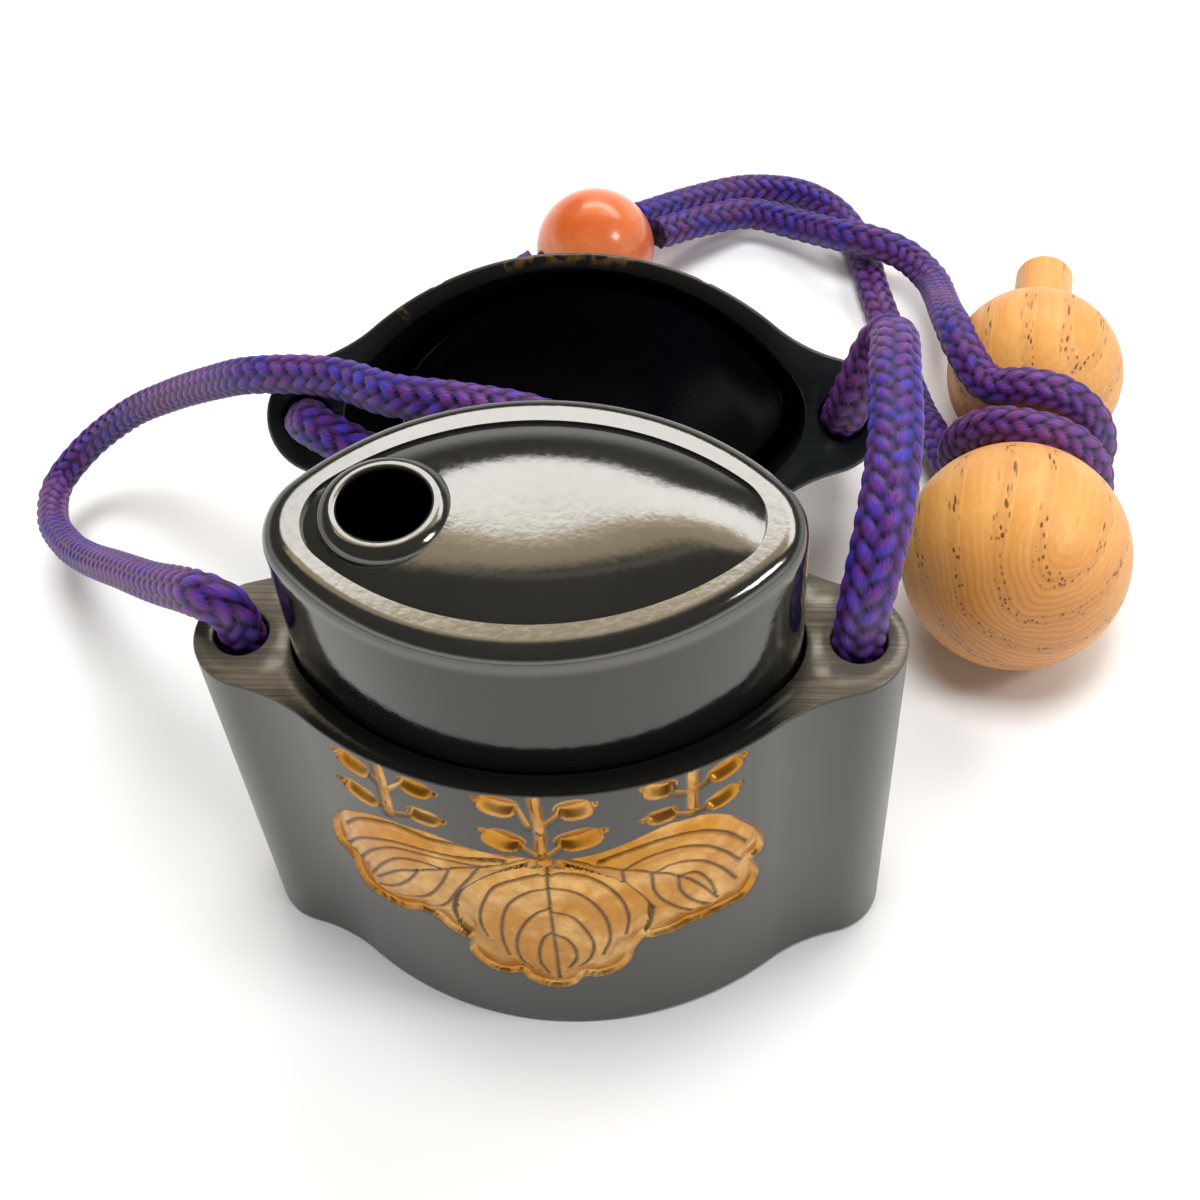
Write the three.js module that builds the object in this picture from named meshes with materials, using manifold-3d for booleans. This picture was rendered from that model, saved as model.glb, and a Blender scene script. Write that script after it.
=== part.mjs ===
// An inro: a black lacquered seal case of lens plan with two cord ears, opened.
// The lower case stands upright with its flask inside, the lid lies tipped back
// behind it, and one braided cord runs through the ears of both, through the
// bead, and round the waist of the gourd-shaped toggle.
//
// Millimetres, +Z up. The origin is the centre of the case's underside, which
// stands on z = 0; +X runs along the width and -Y is the carved front.

import * as THREE from 'three';
import { mergeVertices } from 'three/addons/utils/BufferGeometryUtils.js';
import Module from 'manifold-3d';

const wasm = await Module();
wasm.setup();

// ---------------------------------------------------------------- sizes

// plan of the case and the lid
const halfWidth = 36.0;
const halfDepth = 18.8;
const bellyRadius = 36.3; // front and back faces
const earRadius = 6.75; // round ends that carry the cord
const waistRadius = 19.2; // hollow between belly and ear
const earX = halfWidth - earRadius;

// heights
const caseHeight = 49.8;
const floorThickness = 11.5; // the cord crosses inside it
const lidHeight = 39.1;
const lidTopThickness = 2.8;

// cord holes in the ears
const cordHoleX = 31.1;
const cordHoleRadius = 2.75;
const cordCrossingHeight = 4.9;

// flask that stands in the case
const flaskHalfWidth = 25.6;
const flaskHalfDepth = 16.05;
const flaskEndRadius = 8.0;
const flaskWall = 1.6;
const flaskRimHeight = 68.2;
const shoulderRadius = 2.0;
const rimWidth = 1.9;
const domeStep = 0.35; // the dome starts this much below the flat rim
const domeRise = 1.8;
const fitGap = 0.3;

// the flask's mouth
const mouthX = -13.6;
const mouthBoreRadius = 4.45;
const mouthLipRadius = 5.35;
const mouthFootRadius = 6.5;
const mouthHeight = 70.2;

// the lid's hollow slides over the flask
const lidHollowHalfWidth = 26.7;
const lidHollowHalfDepth = 16.9;
const lidHollowEndRadius = 7.0;

// where the lid lies
const lidRimCentre = new THREE.Vector3(-0.2, 37.7, 41.0);
const lidTip = THREE.MathUtils.degToRad(44.9);
const lidTurn = THREE.MathUtils.degToRad(1.8);
const lidRoll = THREE.MathUtils.degToRad(-1.0);

// gourd toggle, lying on its side
const gourdBelly = new THREE.Vector3(53.65, 38.95, 14.3); // centre of the big bulb
const gourdHead = new THREE.Vector3(59.2, 72.9, 11.8); // centre of the small bulb
const bellyBulbRadius = 14.3;
const headBulbRadius = 11.8;
const neckRadius = 6.0;
const stemRadius = 3.95;
const stemEnd = 57.3; // from the big bulb's centre

// bead
const beadCentre = new THREE.Vector3(-2.85, 101.6, 8.8);
const beadRadius = 8.8;
const beadBoreRadius = 2.6;
const beadAxis = new THREE.Vector3(0.83, 0.56, 0).normalize();

// cord
const cordRadius = 2.35;
const cordSides = 10;
const wrapInner = 6.6; // the turns round the gourd's neck
const wrapOuter = 11.5;

// ---------------------------------------------------------------- materials

function lacquer(colour, roughness) {
  return new THREE.MeshStandardMaterial({ color: colour, roughness, metalness: 0.4 });
}
const caseLacquer = lacquer(0x2b2a2b, 0.28);
const lidLacquer = lacquer(0x232326, 0.28);
const flaskLacquer = lacquer(0x1b1b1e, 0.12);
const silk = new THREE.MeshStandardMaterial({ color: 0x5b2396, roughness: 0.75, metalness: 0 });
const coral = new THREE.MeshStandardMaterial({ color: 0xe2682f, roughness: 0.18, metalness: 0 });
const boxwood = new THREE.MeshStandardMaterial({ color: 0xd99a48, roughness: 0.5, metalness: 0 });

// ---------------------------------------------------------------- helpers

function toSolid(geometry) {
  const bare = geometry.clone();
  bare.deleteAttribute('normal');
  bare.deleteAttribute('uv');
  const merged = mergeVertices(bare, 1e-4);
  return new wasm.Manifold(
    new wasm.Mesh({
      numProp: 3,
      vertProperties: new Float32Array(merged.attributes.position.array),
      triVerts: new Uint32Array(merged.index.array),
    })
  );
}

function toGeometry(solid) {
  const mesh = solid.getMesh();
  const geometry = new THREE.BufferGeometry();
  geometry.setAttribute('position', new THREE.BufferAttribute(mesh.vertProperties, 3));
  geometry.setIndex(new THREE.BufferAttribute(mesh.triVerts, 1));
  geometry.computeVertexNormals();
  return geometry;
}

function piece(name, geometry, material) {
  const mesh = new THREE.Mesh(geometry, material);
  mesh.name = name;
  return mesh;
}

function prism(shape, low, high, curveSegments) {
  const geometry = new THREE.ExtrudeGeometry(shape, {
    depth: high - low,
    bevelEnabled: false,
    curveSegments,
  });
  return geometry.translate(0, 0, low);
}

function disc(radius, x = 0, y = 0) {
  const shape = new THREE.Shape();
  shape.absarc(x, y, radius, 0, 2 * Math.PI, false);
  return shape;
}

// A tube whose sections sit exactly at the route's points.
function sweep(points, radius, sides) {
  const route = new THREE.CatmullRomCurve3(points.map((p) => new THREE.Vector3(...p)));
  route.getUtoTmapping = (u) => u;
  return new THREE.ExtrudeGeometry(disc(radius), {
    steps: points.length - 1,
    bevelEnabled: false,
    extrudePath: route,
    curveSegments: sides / 2,
  });
}

// Closed loops of equal length, joined from the first to the last.
function loft(loops) {
  const count = loops[0].length;
  const positions = loops.flat().flatMap((p) => [p.x, p.y, p.z]);
  const index = [];
  for (let level = 0; level + 1 < loops.length; level += 1) {
    for (let i = 0; i < count; i += 1) {
      const a = level * count + i;
      const b = level * count + ((i + 1) % count);
      index.push(a, b, b + count, a, b + count, a + count);
    }
  }
  const caps = [
    [0, false],
    [loops.length - 1, true],
  ];
  for (const [level, top] of caps) {
    const centre = positions.length / 3;
    positions.push(0, 0, loops[level][0].z);
    for (let i = 0; i < count; i += 1) {
      const a = level * count + i;
      const b = level * count + ((i + 1) % count);
      index.push(centre, ...(top ? [a, b] : [b, a]));
    }
  }
  const geometry = new THREE.BufferGeometry();
  geometry.setAttribute('position', new THREE.Float32BufferAttribute(positions, 3));
  geometry.setIndex(index);
  return geometry;
}

// ---------------------------------------------------------------- outlines

// The plan of the case: two bellies, two round ears and a hollow between each pair.
function caseOutline() {
  const bellyY = bellyRadius - halfDepth; // centre of the front belly
  const span = Math.hypot(earX, bellyY);
  const toBelly = bellyRadius + waistRadius;
  const toEar = earRadius + waistRadius;
  const along = (toBelly ** 2 - toEar ** 2 + span ** 2) / (2 * span);
  const across = Math.sqrt(toBelly ** 2 - along ** 2);
  const ux = earX / span;
  const uy = -bellyY / span;
  const hollowX = along * ux + across * uy;
  const hollowY = bellyY + along * uy - across * ux;
  const beta = Math.atan2(hollowY - bellyY, hollowX);
  const gamma = Math.atan2(-hollowY, earX - hollowX);
  const turn = Math.PI;

  const shape = new THREE.Shape();
  shape.absarc(0, bellyY, bellyRadius, -turn - beta, beta, false);
  shape.absarc(hollowX, hollowY, waistRadius, beta + turn, gamma, true);
  shape.absarc(earX, 0, earRadius, gamma - turn, turn - gamma, false);
  shape.absarc(hollowX, -hollowY, waistRadius, -gamma, -beta - turn, true);
  shape.absarc(0, -bellyY, bellyRadius, -beta, turn + beta, false);
  shape.absarc(-hollowX, -hollowY, waistRadius, beta + 2 * turn, turn + gamma, true);
  shape.absarc(-earX, 0, earRadius, gamma, 2 * turn - gamma, false);
  shape.absarc(-hollowX, hollowY, waistRadius, turn - gamma, -beta, true);
  return shape;
}

// A pointed oval with rounded ends, for the flask and what fits over or round it.
function lensOutline(a, b, endRadius) {
  const endX = a - endRadius;
  const centreY = (endX ** 2 - (b - endRadius) ** 2) / (2 * (b - endRadius));
  const radius = centreY + b;
  const angle = Math.atan2(-centreY, endX);
  const shape = new THREE.Shape();
  shape.absarc(0, centreY, radius, -Math.PI - angle, angle, false);
  shape.absarc(endX, 0, endRadius, angle, -angle, false);
  shape.absarc(0, -centreY, radius, -angle, Math.PI + angle, false);
  shape.absarc(-endX, 0, endRadius, Math.PI + angle, Math.PI - angle, false);
  return shape;
}

// The flask's plan drawn in by inset, as a closed loop at one height.
function flaskLoop(inset, z, scale = 1) {
  const segmentsPerArc = 9;
  const outline = lensOutline(
    flaskHalfWidth - inset,
    flaskHalfDepth - inset,
    flaskEndRadius - inset
  ).getPoints(segmentsPerArc);
  if (outline[0].distanceTo(outline.at(-1)) < 1e-6) outline.pop();
  return outline.map((p) => new THREE.Vector3(p.x * scale, p.y * scale, z));
}

// Height of the domed top above its foot: flat in the middle, falling at the edge.
function domeAt(scale) {
  return domeRise * (1 - scale ** 4);
}

// ---------------------------------------------------------------- the cord's route

// From the bead, down through the lid's left ear, out in a loop to the case's
// left ear, under the case, up to the lid's right ear and back to the bead.
const cordRoute = [
  [-12.0, 98.4, 8.6],
  [-17.5, 95.2, 6.6],
  [-27.5, 89.5, 2.8],
  [-32.3, 79.0, 3.4],
  [-32.3, 68.2, 10.2],
  [-32.2, 65.5, 12.9],
  [-31.3, 36.3, 42.2],
  [-29.6, 32.6, 45.2],
  [-24.5, 29.0, 45.6],
  [-16.5, 26.4, 43.0],
  [-7.5, 25.0, 41.0],
  [1.0, 24.8, 43.2],
  [3.4, 24.8, 49.0],
  [-1.5, 25.2, 53.8],
  [-10.5, 27.2, 54.3],
  [-23.6, 31.3, 52.9],
  [-29.0, 35.2, 50.5],
  [-33.7, 37.7, 48.4],
  [-37.8, 39.8, 45.8],
  [-42.9, 43.7, 40.6],
  [-53.5, 52.1, 29.0],
  [-62.4, 57.0, 19.8],
  [-70.2, 57.2, 12.8],
  [-73.7, 53.5, 10.2],
  [-72.0, 45.4, 12.5],
  [-66.2, 36.2, 18.5],
  [-59.2, 27.5, 26.5],
  [-51.2, 18.5, 36.0],
  [-42.7, 9.0, 46.0],
  [-37.1, 3.4, 52.2],
  [-34.2, 1.0, 54.6],
  [-31.7, 0.1, 54.4],
  [-cordHoleX, 0.0, 51.5],
  [-cordHoleX, 0.0, 15.0],
  [-28.6, 0.0, 7.4],
  [-21.0, 0.0, cordCrossingHeight],
  [21.0, 0.0, cordCrossingHeight],
  [28.6, 0.0, 7.4],
  [cordHoleX, 0.0, 15.0],
  [cordHoleX, 0.0, 51.5],
  [31.5, 0.9, 55.0],
  [33.0, 6.2, 60.0],
  [34.4, 15.4, 62.0],
  [34.8, 25.6, 61.3],
  [35.2, 33.4, 58.3],
  [34.0, 37.2, 53.2],
  [32.0, 36.4, 47.4],
  [30.9, 37.6, 41.6],
  [30.1, 66.6, 12.1],
  [29.9, 70.6, 8.2],
  [27.6, 77.2, 3.6],
  [17.0, 80.8, 2.6],
  [-2.0, 80.8, 2.6],
  [-14.6, 81.8, 2.8],
  [-18.8, 86.2, 4.4],
  [-14.4, 91.0, 7.2],
  [-9.1, 94.4, 8.6],
];

// From the bead to the gourd's neck: one strand runs along the ground, the
// other crosses over it and climbs the gourd's head.
const lowStrandRoute = [
  [3.4, 108.8, 8.6],
  [12.2, 116.2, 5.6],
  [20.2, 121.2, 3.2],
  [28.2, 120.8, 2.5],
  [33.6, 116.4, 2.5],
  [37.2, 108.6, 2.5],
  [38.8, 99.6, 2.5],
  [41.2, 88.6, 2.5],
  [43.2, 79.0, 2.7],
  [44.6, 71.6, 4.2],
  [45.8, 66.8, 6.3],
];
const highStrandRoute = [
  [6.5, 105.0, 8.6],
  [12.4, 110.0, 6.4],
  [20.2, 114.2, 4.4],
  [27.8, 111.0, 4.8],
  [33.4, 106.4, 7.0],
  [38.4, 104.0, 7.8],
  [43.4, 102.0, 6.8],
  [46.6, 96.4, 7.6],
  [47.2, 87.8, 12.0],
  [47.1, 79.6, 17.2],
  [47.4, 73.4, 20.5],
  [48.3, 69.0, 20.9],
  [49.0, 66.6, 19.8],
];

// ---------------------------------------------------------------- lower case

function makeCase() {
  const body = toSolid(prism(caseOutline(), 0, caseHeight, 7));
  const pocket = toSolid(
    prism(
      lensOutline(flaskHalfWidth + fitGap, flaskHalfDepth + fitGap, flaskEndRadius + fitGap),
      floorThickness,
      caseHeight + 1,
      9
    )
  );
  const above = caseHeight + 4;
  const inside = cordRoute.filter(([, y, z]) => y === 0 && z < caseHeight);
  const channelRoute = [
    [-cordHoleX, 0, above],
    [-cordHoleX, 0, 51.5],
    ...inside,
    [cordHoleX, 0, 51.5],
    [cordHoleX, 0, above],
  ];
  const channel = toSolid(sweep(channelRoute, cordHoleRadius, 20));
  return piece('case', toGeometry(body.subtract(pocket).subtract(channel)), caseLacquer);
}

// ---------------------------------------------------------------- flask

function makeFlask() {
  const base = floorThickness + fitGap;
  const shoulderSteps = 4;
  const outerLoops = [flaskLoop(0, base)];
  for (let i = 0; i <= shoulderSteps; i += 1) {
    const angle = (i / shoulderSteps) * (Math.PI / 2);
    const inset = shoulderRadius * (1 - Math.cos(angle));
    const z = flaskRimHeight - shoulderRadius * (1 - Math.sin(angle));
    outerLoops.push(flaskLoop(inset, z));
  }
  const domeInset = shoulderRadius + rimWidth;
  const domeFoot = flaskRimHeight - domeStep;
  outerLoops.push(flaskLoop(domeInset, flaskRimHeight));
  outerLoops.push(flaskLoop(domeInset + 0.1, domeFoot));
  for (const scale of [0.93, 0.85, 0.75, 0.6, 0.35]) {
    outerLoops.push(flaskLoop(domeInset + 0.1, domeFoot + domeAt(scale), scale));
  }

  const ceiling = domeFoot - flaskWall;
  const innerLoops = [
    flaskLoop(flaskWall, base + flaskWall),
    flaskLoop(flaskWall, flaskRimHeight - shoulderRadius),
    flaskLoop(domeInset, ceiling),
  ];
  for (const scale of [0.85, 0.6]) {
    innerLoops.push(flaskLoop(domeInset, ceiling + domeAt(scale), scale));
  }

  const collarProfile = [
    new THREE.Vector2(0, ceiling - 0.5),
    new THREE.Vector2(mouthFootRadius, ceiling - 0.5),
    new THREE.Vector2(mouthFootRadius, mouthHeight - 1.2),
    new THREE.Vector2(mouthLipRadius + 0.35, mouthHeight - 0.2),
    new THREE.Vector2(mouthLipRadius, mouthHeight),
    new THREE.Vector2(0, mouthHeight),
  ];
  const collar = new THREE.LatheGeometry(collarProfile, 32);
  collar.rotateX(Math.PI / 2).translate(mouthX, 0, 0);
  const bore = prism(disc(mouthBoreRadius, mouthX), ceiling - 3, mouthHeight + 1, 18);

  const solid = toSolid(loft(outerLoops))
    .add(toSolid(collar))
    .subtract(toSolid(loft(innerLoops)))
    .subtract(toSolid(bore));
  return piece('flask', toGeometry(solid), flaskLacquer);
}

// ---------------------------------------------------------------- lid

function makeLid() {
  const outline = caseOutline();
  outline.holes = [disc(cordHoleRadius, -cordHoleX), disc(cordHoleRadius, cordHoleX)];
  const body = toSolid(prism(outline, -lidHeight, 0, 8));
  const hollow = toSolid(
    prism(
      lensOutline(lidHollowHalfWidth, lidHollowHalfDepth, lidHollowEndRadius),
      lidTopThickness - lidHeight,
      1,
      9
    )
  );
  const lid = piece('lid', toGeometry(body.subtract(hollow)), lidLacquer);
  const turn = new THREE.Quaternion().setFromAxisAngle(new THREE.Vector3(0, 0, 1), lidTurn);
  const tip = new THREE.Quaternion().setFromAxisAngle(new THREE.Vector3(1, 0, 0), lidTip);
  const roll = new THREE.Quaternion().setFromAxisAngle(new THREE.Vector3(0, 0, 1), lidRoll);
  lid.quaternion.copy(turn.multiply(tip).multiply(roll));
  lid.position.copy(lidRimCentre);
  return lid;
}

// ---------------------------------------------------------------- gourd, its wrap, bead

function placeAlong(mesh, centre, axis) {
  mesh.quaternion.setFromUnitVectors(new THREE.Vector3(0, 1, 0), axis);
  mesh.position.copy(centre);
  return mesh;
}

// Profile of a ball that sits on the axis at the height along.
function arcPoints(along, radius, from, to, steps) {
  const points = [];
  for (let i = 0; i <= steps; i += 1) {
    const angle = from + ((to - from) * i) / steps;
    points.push(
      new THREE.Vector2(radius * Math.cos(angle), along + radius * Math.sin(angle))
    );
  }
  return points;
}

function makeGourd() {
  const between = gourdBelly.distanceTo(gourdHead);
  const stemFoot = 4.9;
  const headTop = Math.acos(stemFoot / headBulbRadius);

  const bellyTop = Math.acos(neckRadius / bellyBulbRadius);
  const headFoot = -Math.acos(neckRadius / headBulbRadius);
  const bellyFoot = 0.22 - Math.PI / 2;
  const profile = [
    new THREE.Vector2(0, -bellyBulbRadius),
    ...arcPoints(0, bellyBulbRadius, bellyFoot, bellyTop, 12),
    ...arcPoints(between, headBulbRadius, headFoot, headTop, 10),
    new THREE.Vector2(stemRadius + 0.25, between + headBulbRadius + 0.6),
    new THREE.Vector2(stemRadius, between + headBulbRadius + 2.7),
    new THREE.Vector2(stemRadius, stemEnd - 1.7),
    new THREE.Vector2(stemRadius - 0.4, stemEnd - 0.5),
    new THREE.Vector2(stemRadius - 1.3, stemEnd),
    new THREE.Vector2(0, stemEnd),
  ];
  const axis = gourdHead.clone().sub(gourdBelly).normalize();
  const gourd = piece('gourd_toggle', new THREE.LatheGeometry(profile, 32), boxwood);
  return placeAlong(gourd, gourdBelly, axis);
}

function makeWrap() {
  // section of the two turns round the gourd's neck, as one ring
  const section = [
    [wrapInner, 13.5],
    [9.3, 11.7],
    [wrapOuter, 12.8],
    [wrapOuter, 22.8],
    [9.3, 24.0],
    [wrapInner, 24.0],
    [wrapInner, 13.5],
  ].map(([radius, along]) => new THREE.Vector2(radius, along));
  const axis = gourdHead.clone().sub(gourdBelly).normalize();
  return placeAlong(
    piece('cord_wrap', new THREE.LatheGeometry(section, 36), silk),
    gourdBelly,
    axis
  );
}

function makeBead() {
  const reach = Math.sqrt(beadRadius ** 2 - beadBoreRadius ** 2);
  const edge = Math.atan2(reach, beadBoreRadius);
  const profile = arcPoints(0, beadRadius, -edge, edge, 14);
  profile.push(profile[0].clone());
  const bead = piece('bead', new THREE.LatheGeometry(profile, 32), coral);
  return placeAlong(bead, beadCentre, beadAxis);
}

// ---------------------------------------------------------------- the whole

const inro = new THREE.Group();
inro.add(makeCase());
inro.add(makeFlask());
inro.add(makeLid());
inro.add(makeGourd());
inro.add(makeBead());
inro.add(piece('cord', sweep(cordRoute, cordRadius, cordSides), silk));
inro.add(piece('cord_low_strand', sweep(lowStrandRoute, cordRadius, cordSides), silk));
inro.add(piece('cord_high_strand', sweep(highStrandRoute, cordRadius, cordSides), silk));
inro.add(makeWrap());

export default inro;
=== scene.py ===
# %% [markdown]
# # An inro with its cord, bead and toggle
# An inro is a small lacquered case that hangs from a sash. This one is open: the lower case
# stands upright with a flask inside it, the lid lies tipped back behind it, and one braided
# cord ties both to a bead and to a gourd-shaped toggle. The engineered solids already fix every
# place and size, so this lesson only builds the fine surface of each piece around them.
# All lengths below are written in millimetres and turned into metres when a mesh is made.

# %% The fixed frame
import math

import bpy
import numpy as np
from mathutils import Matrix, Vector, geometry


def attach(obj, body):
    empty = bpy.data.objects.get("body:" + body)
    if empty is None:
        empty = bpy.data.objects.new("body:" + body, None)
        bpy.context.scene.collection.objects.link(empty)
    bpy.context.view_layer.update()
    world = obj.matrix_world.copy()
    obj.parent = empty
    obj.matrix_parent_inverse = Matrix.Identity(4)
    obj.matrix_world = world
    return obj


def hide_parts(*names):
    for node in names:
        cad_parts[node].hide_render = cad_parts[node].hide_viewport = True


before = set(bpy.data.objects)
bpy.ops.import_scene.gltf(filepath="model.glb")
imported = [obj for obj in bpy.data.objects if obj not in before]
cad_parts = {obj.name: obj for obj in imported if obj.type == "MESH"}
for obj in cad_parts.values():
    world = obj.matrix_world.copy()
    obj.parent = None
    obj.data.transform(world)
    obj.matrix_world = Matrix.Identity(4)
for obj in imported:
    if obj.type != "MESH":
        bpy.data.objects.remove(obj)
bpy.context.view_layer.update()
MM = 0.001
print("solids:", ", ".join(sorted(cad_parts)))

# %% [markdown]
# ## The camera
# It stands in front of the case and looks down at about fifty degrees, with a slight tilt to
# one side. A matrix made from three axes states that directly: where right, up and backwards
# point. That is easier to read than three rotation angles.

# %% Camera
LOOK_AZIMUTH = math.radians(6.949)
LOOK_ELEVATION = math.radians(52.713)
LOOK_ROLL = math.radians(-4.908)
CAMERA_PLACE = Vector((19.159, -110.678, 202.189)) * MM


def camera_matrix():
    flat = math.cos(LOOK_ELEVATION)
    back = Vector(
        (math.sin(LOOK_AZIMUTH) * flat, -math.cos(LOOK_AZIMUTH) * flat, math.sin(LOOK_ELEVATION))
    )
    level = Vector((0, 0, 1)).cross(back).normalized()
    upright = back.cross(level)
    right = math.cos(LOOK_ROLL) * level + math.sin(LOOK_ROLL) * upright
    up = math.cos(LOOK_ROLL) * upright - math.sin(LOOK_ROLL) * level
    turned = Matrix((right, up, back)).transposed().to_4x4()
    return Matrix.Translation(CAMERA_PLACE) @ turned


camera_data = bpy.data.cameras.new("camera")
camera_data.sensor_width = 36
camera_data.lens = 56.68
camera_data.clip_start = 0.01
camera = bpy.data.objects.new("camera", camera_data)
camera.matrix_world = camera_matrix()
bpy.context.scene.collection.objects.link(camera)
bpy.context.scene.camera = camera
print("camera", [round(x, 3) for x in camera.location])

# %% [markdown]
# ## Two small mesh helpers
# Every piece here is a set of rings: a ring of points is swept, stacked or turned, and
# neighbouring rings are joined with four-sided faces. So one helper joins rings and another
# turns points and faces into an object. Writing the rings by hand keeps the surface even, which
# matters on mirror-bright lacquer, where a boolean cut would leave dents in the reflections.


# %% Rings and meshes
def joined_rings(ring_count, ring_size):
    """Four-sided faces between neighbouring rings of points numbered one after another."""
    row = np.arange(ring_count - 1)[:, None] * ring_size
    col = np.arange(ring_size)[None, :]
    after = (col + 1) % ring_size
    quads = np.stack((row + col, row + after, row + ring_size + after, row + ring_size + col), -1)
    return quads.reshape(-1, 4).tolist()


def make_piece(name, points, faces, finish, stand=None):
    """An object from points in millimetres, with its finish. It rides on the one body."""
    mesh = bpy.data.meshes.new(name)
    mesh.from_pydata((np.asarray(points, float) * MM).tolist(), [], faces)
    mesh.validate()
    mesh.shade_smooth()
    mesh.materials.append(finish)
    piece = bpy.data.objects.new(name, mesh)
    bpy.context.scene.collection.objects.link(piece)
    if stand:
        piece.matrix_world = stand
    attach(piece, "root")
    print(name, len(mesh.vertices), "points", len(mesh.polygons), "faces")
    return piece


def point_values(piece, name, values):
    """Stores one number per point, for a finish to read by that name."""
    layer = piece.data.attributes.new(name, "FLOAT", "POINT")
    layer.data.foreach_set("value", np.asarray(values, np.float32))


# %% [markdown]
# ## Finishes from nodes
# A finish is a Principled shader whose colour, roughness and bump come from noise. A short
# helper class adds nodes and links in one line, so that each finish below reads as a recipe.
# The sky is made of nodes too, so the general part is a class of its own.


# %% Node helper
class Nodes:
    """Short ways to add nodes and links to a node tree."""

    def __init__(self, tree):
        self.tree = tree

    def node(self, kind, settings=None, **inputs):
        made = self.tree.nodes.new("ShaderNode" + kind)
        for key, value in (settings or {}).items():
            setattr(made, key, value)
        for key, value in inputs.items():
            # i0, i1 and so on stand for a socket's number, anything else for its name
            numbered = key[0] == "i" and key[1:].isdigit()
            self.feed(made.inputs[int(key[1:]) if numbered else key], value)
        return made

    def feed(self, socket, value):
        if isinstance(value, bpy.types.NodeSocket):
            self.tree.links.new(value, socket)
        elif value is not None:
            socket.default_value = value

    def ramp(self, value, low, high, to_low=0.0, to_high=1.0):
        made = self.node("MapRange", i0=value, i1=low, i2=high, i3=to_low, i4=to_high)
        return made.outputs[0]

    def smooth(self, value, low, high):
        """0 at low, 1 at high, smooth between."""
        settings = {"interpolation_type": "SMOOTHSTEP"}
        return self.node("MapRange", settings, i0=value, i1=low, i2=high).outputs[0]

    def mix(self, factor, a, b):
        made = self.node("Mix", {"data_type": "RGBA"}, i0=factor)
        self.feed(made.inputs[6], a)
        self.feed(made.inputs[7], b)
        return made.outputs[2]

    def math(self, operation, a, b=None):
        return self.node("Math", {"operation": operation}, i0=a, i1=b).outputs[0]

    def times(self, a, b):
        return self.math("MULTIPLY", a, b)

    def plus(self, a, b):
        return self.math("ADD", a, b)

    def split(self, vector):
        """The three parts of a vector."""
        return self.node("SeparateXYZ", Vector=vector).outputs


class Finish(Nodes):
    """A new material with a Principled shader."""

    def __init__(self, name, **constants):
        self.material = bpy.data.materials.new(name)
        self.material.use_nodes = True
        super().__init__(self.material.node_tree)
        self.shader = self.tree.nodes["Principled BSDF"]
        for socket, value in constants.items():
            self.shader.inputs[socket.replace("_", " ")].default_value = value

    def noise(self, where, scale, detail=3.0, roughness=0.5, distortion=0.0):
        made = self.node("TexNoise", Vector=where, Scale=scale, Detail=detail, Roughness=roughness)
        made.inputs["Distortion"].default_value = distortion
        return made.outputs[0]

    def place(self, scale=(1, 1, 1), turn=(0, 0, 0)):
        """Coordinates fixed to the object, in millimetres, stretched and turned."""
        source = self.node("TexCoord").outputs["Object"]
        mapping = self.node("Mapping", Vector=source)
        mapping.inputs["Scale"].default_value = [1000 * s for s in scale]
        mapping.inputs["Rotation"].default_value = turn
        return mapping.outputs[0]

    def stored(self, name):
        return self.node("Attribute", {"attribute_name": name}).outputs["Fac"]

    def bump(self, height, depth, strength=1.0):
        made = self.node("Bump", Height=height, Distance=depth * MM, Strength=strength)
        self.set("Normal", made.outputs[0])

    def set(self, socket, value):
        self.feed(self.shader.inputs[socket], value)


def colour(red, green, blue):
    """A colour from everyday 0 to 255 numbers, made linear as shaders expect."""
    def linear(v):
        v /= 255
        return v / 12.92 if v <= 0.04045 else ((v + 0.055) / 1.055) ** 2.4

    return (linear(red), linear(green), linear(blue), 1.0)


# %% [markdown]
# ## The braided cord
# The cord is silk or rayon, plaited from sixteen strands into a slightly flat tube. It could be
# sixteen separate helices, but those are heavy and cut into each other in tight bends. Here the
# tube itself carries the plait: eight strands lean one way and eight the other, each passing over
# two and under two, and the height of whichever strand is on top is added to the tube's wall.


# %% A smooth route through a few points
SPAN_STEPS = 40


def smooth_route(points, spacing):
    """Evenly spaced points on a centripetal Catmull-Rom curve, and its length."""
    points = np.asarray(points, float)
    ends = np.vstack((2 * points[0] - points[1], points, 2 * points[-1] - points[-2]))
    fine = []
    for p0, p1, p2, p3 in zip(ends, ends[1:], ends[2:], ends[3:]):
        gaps = [np.linalg.norm(b - a) ** 0.5 for a, b in ((p0, p1), (p1, p2), (p2, p3))]
        knots = np.cumsum([0.0] + gaps)
        t = np.linspace(knots[1], knots[2], SPAN_STEPS, endpoint=False)[:, None]

        def blend(a, b, i, j):
            return ((knots[j] - t) * a + (t - knots[i]) * b) / (knots[j] - knots[i])

        a1, a2, a3 = blend(p0, p1, 0, 1), blend(p1, p2, 1, 2), blend(p2, p3, 2, 3)
        fine.append(blend(blend(a1, a2, 0, 2), blend(a2, a3, 1, 3), 1, 2))
    fine = np.vstack(fine + [points[-1:]])
    along = distance_along(fine)
    steps = round(along[-1] / spacing)
    wanted = np.linspace(0, along[-1], steps + 1)
    return np.column_stack([np.interp(wanted, along, fine[:, k]) for k in range(3)]), along[-1]


def distance_along(points):
    """Distance of each point from the first, measured along the line."""
    return np.concatenate(([0], np.cumsum(np.linalg.norm(np.diff(points, axis=0), axis=1))))


def settle(values, times):
    """Averages each value with its neighbours, to smooth a line or its directions."""
    for _ in range(times):
        values[1:-1] = (values[:-2] + 2 * values[1:-1] + values[2:]) / 4
    return values


# %% The plait's relief
STRANDS_EACH_WAY = 8
STRAND_STEP = 2.15  # length of cord from one strand to the next, mm
PLAIT_DEPTH = 0.5


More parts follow.
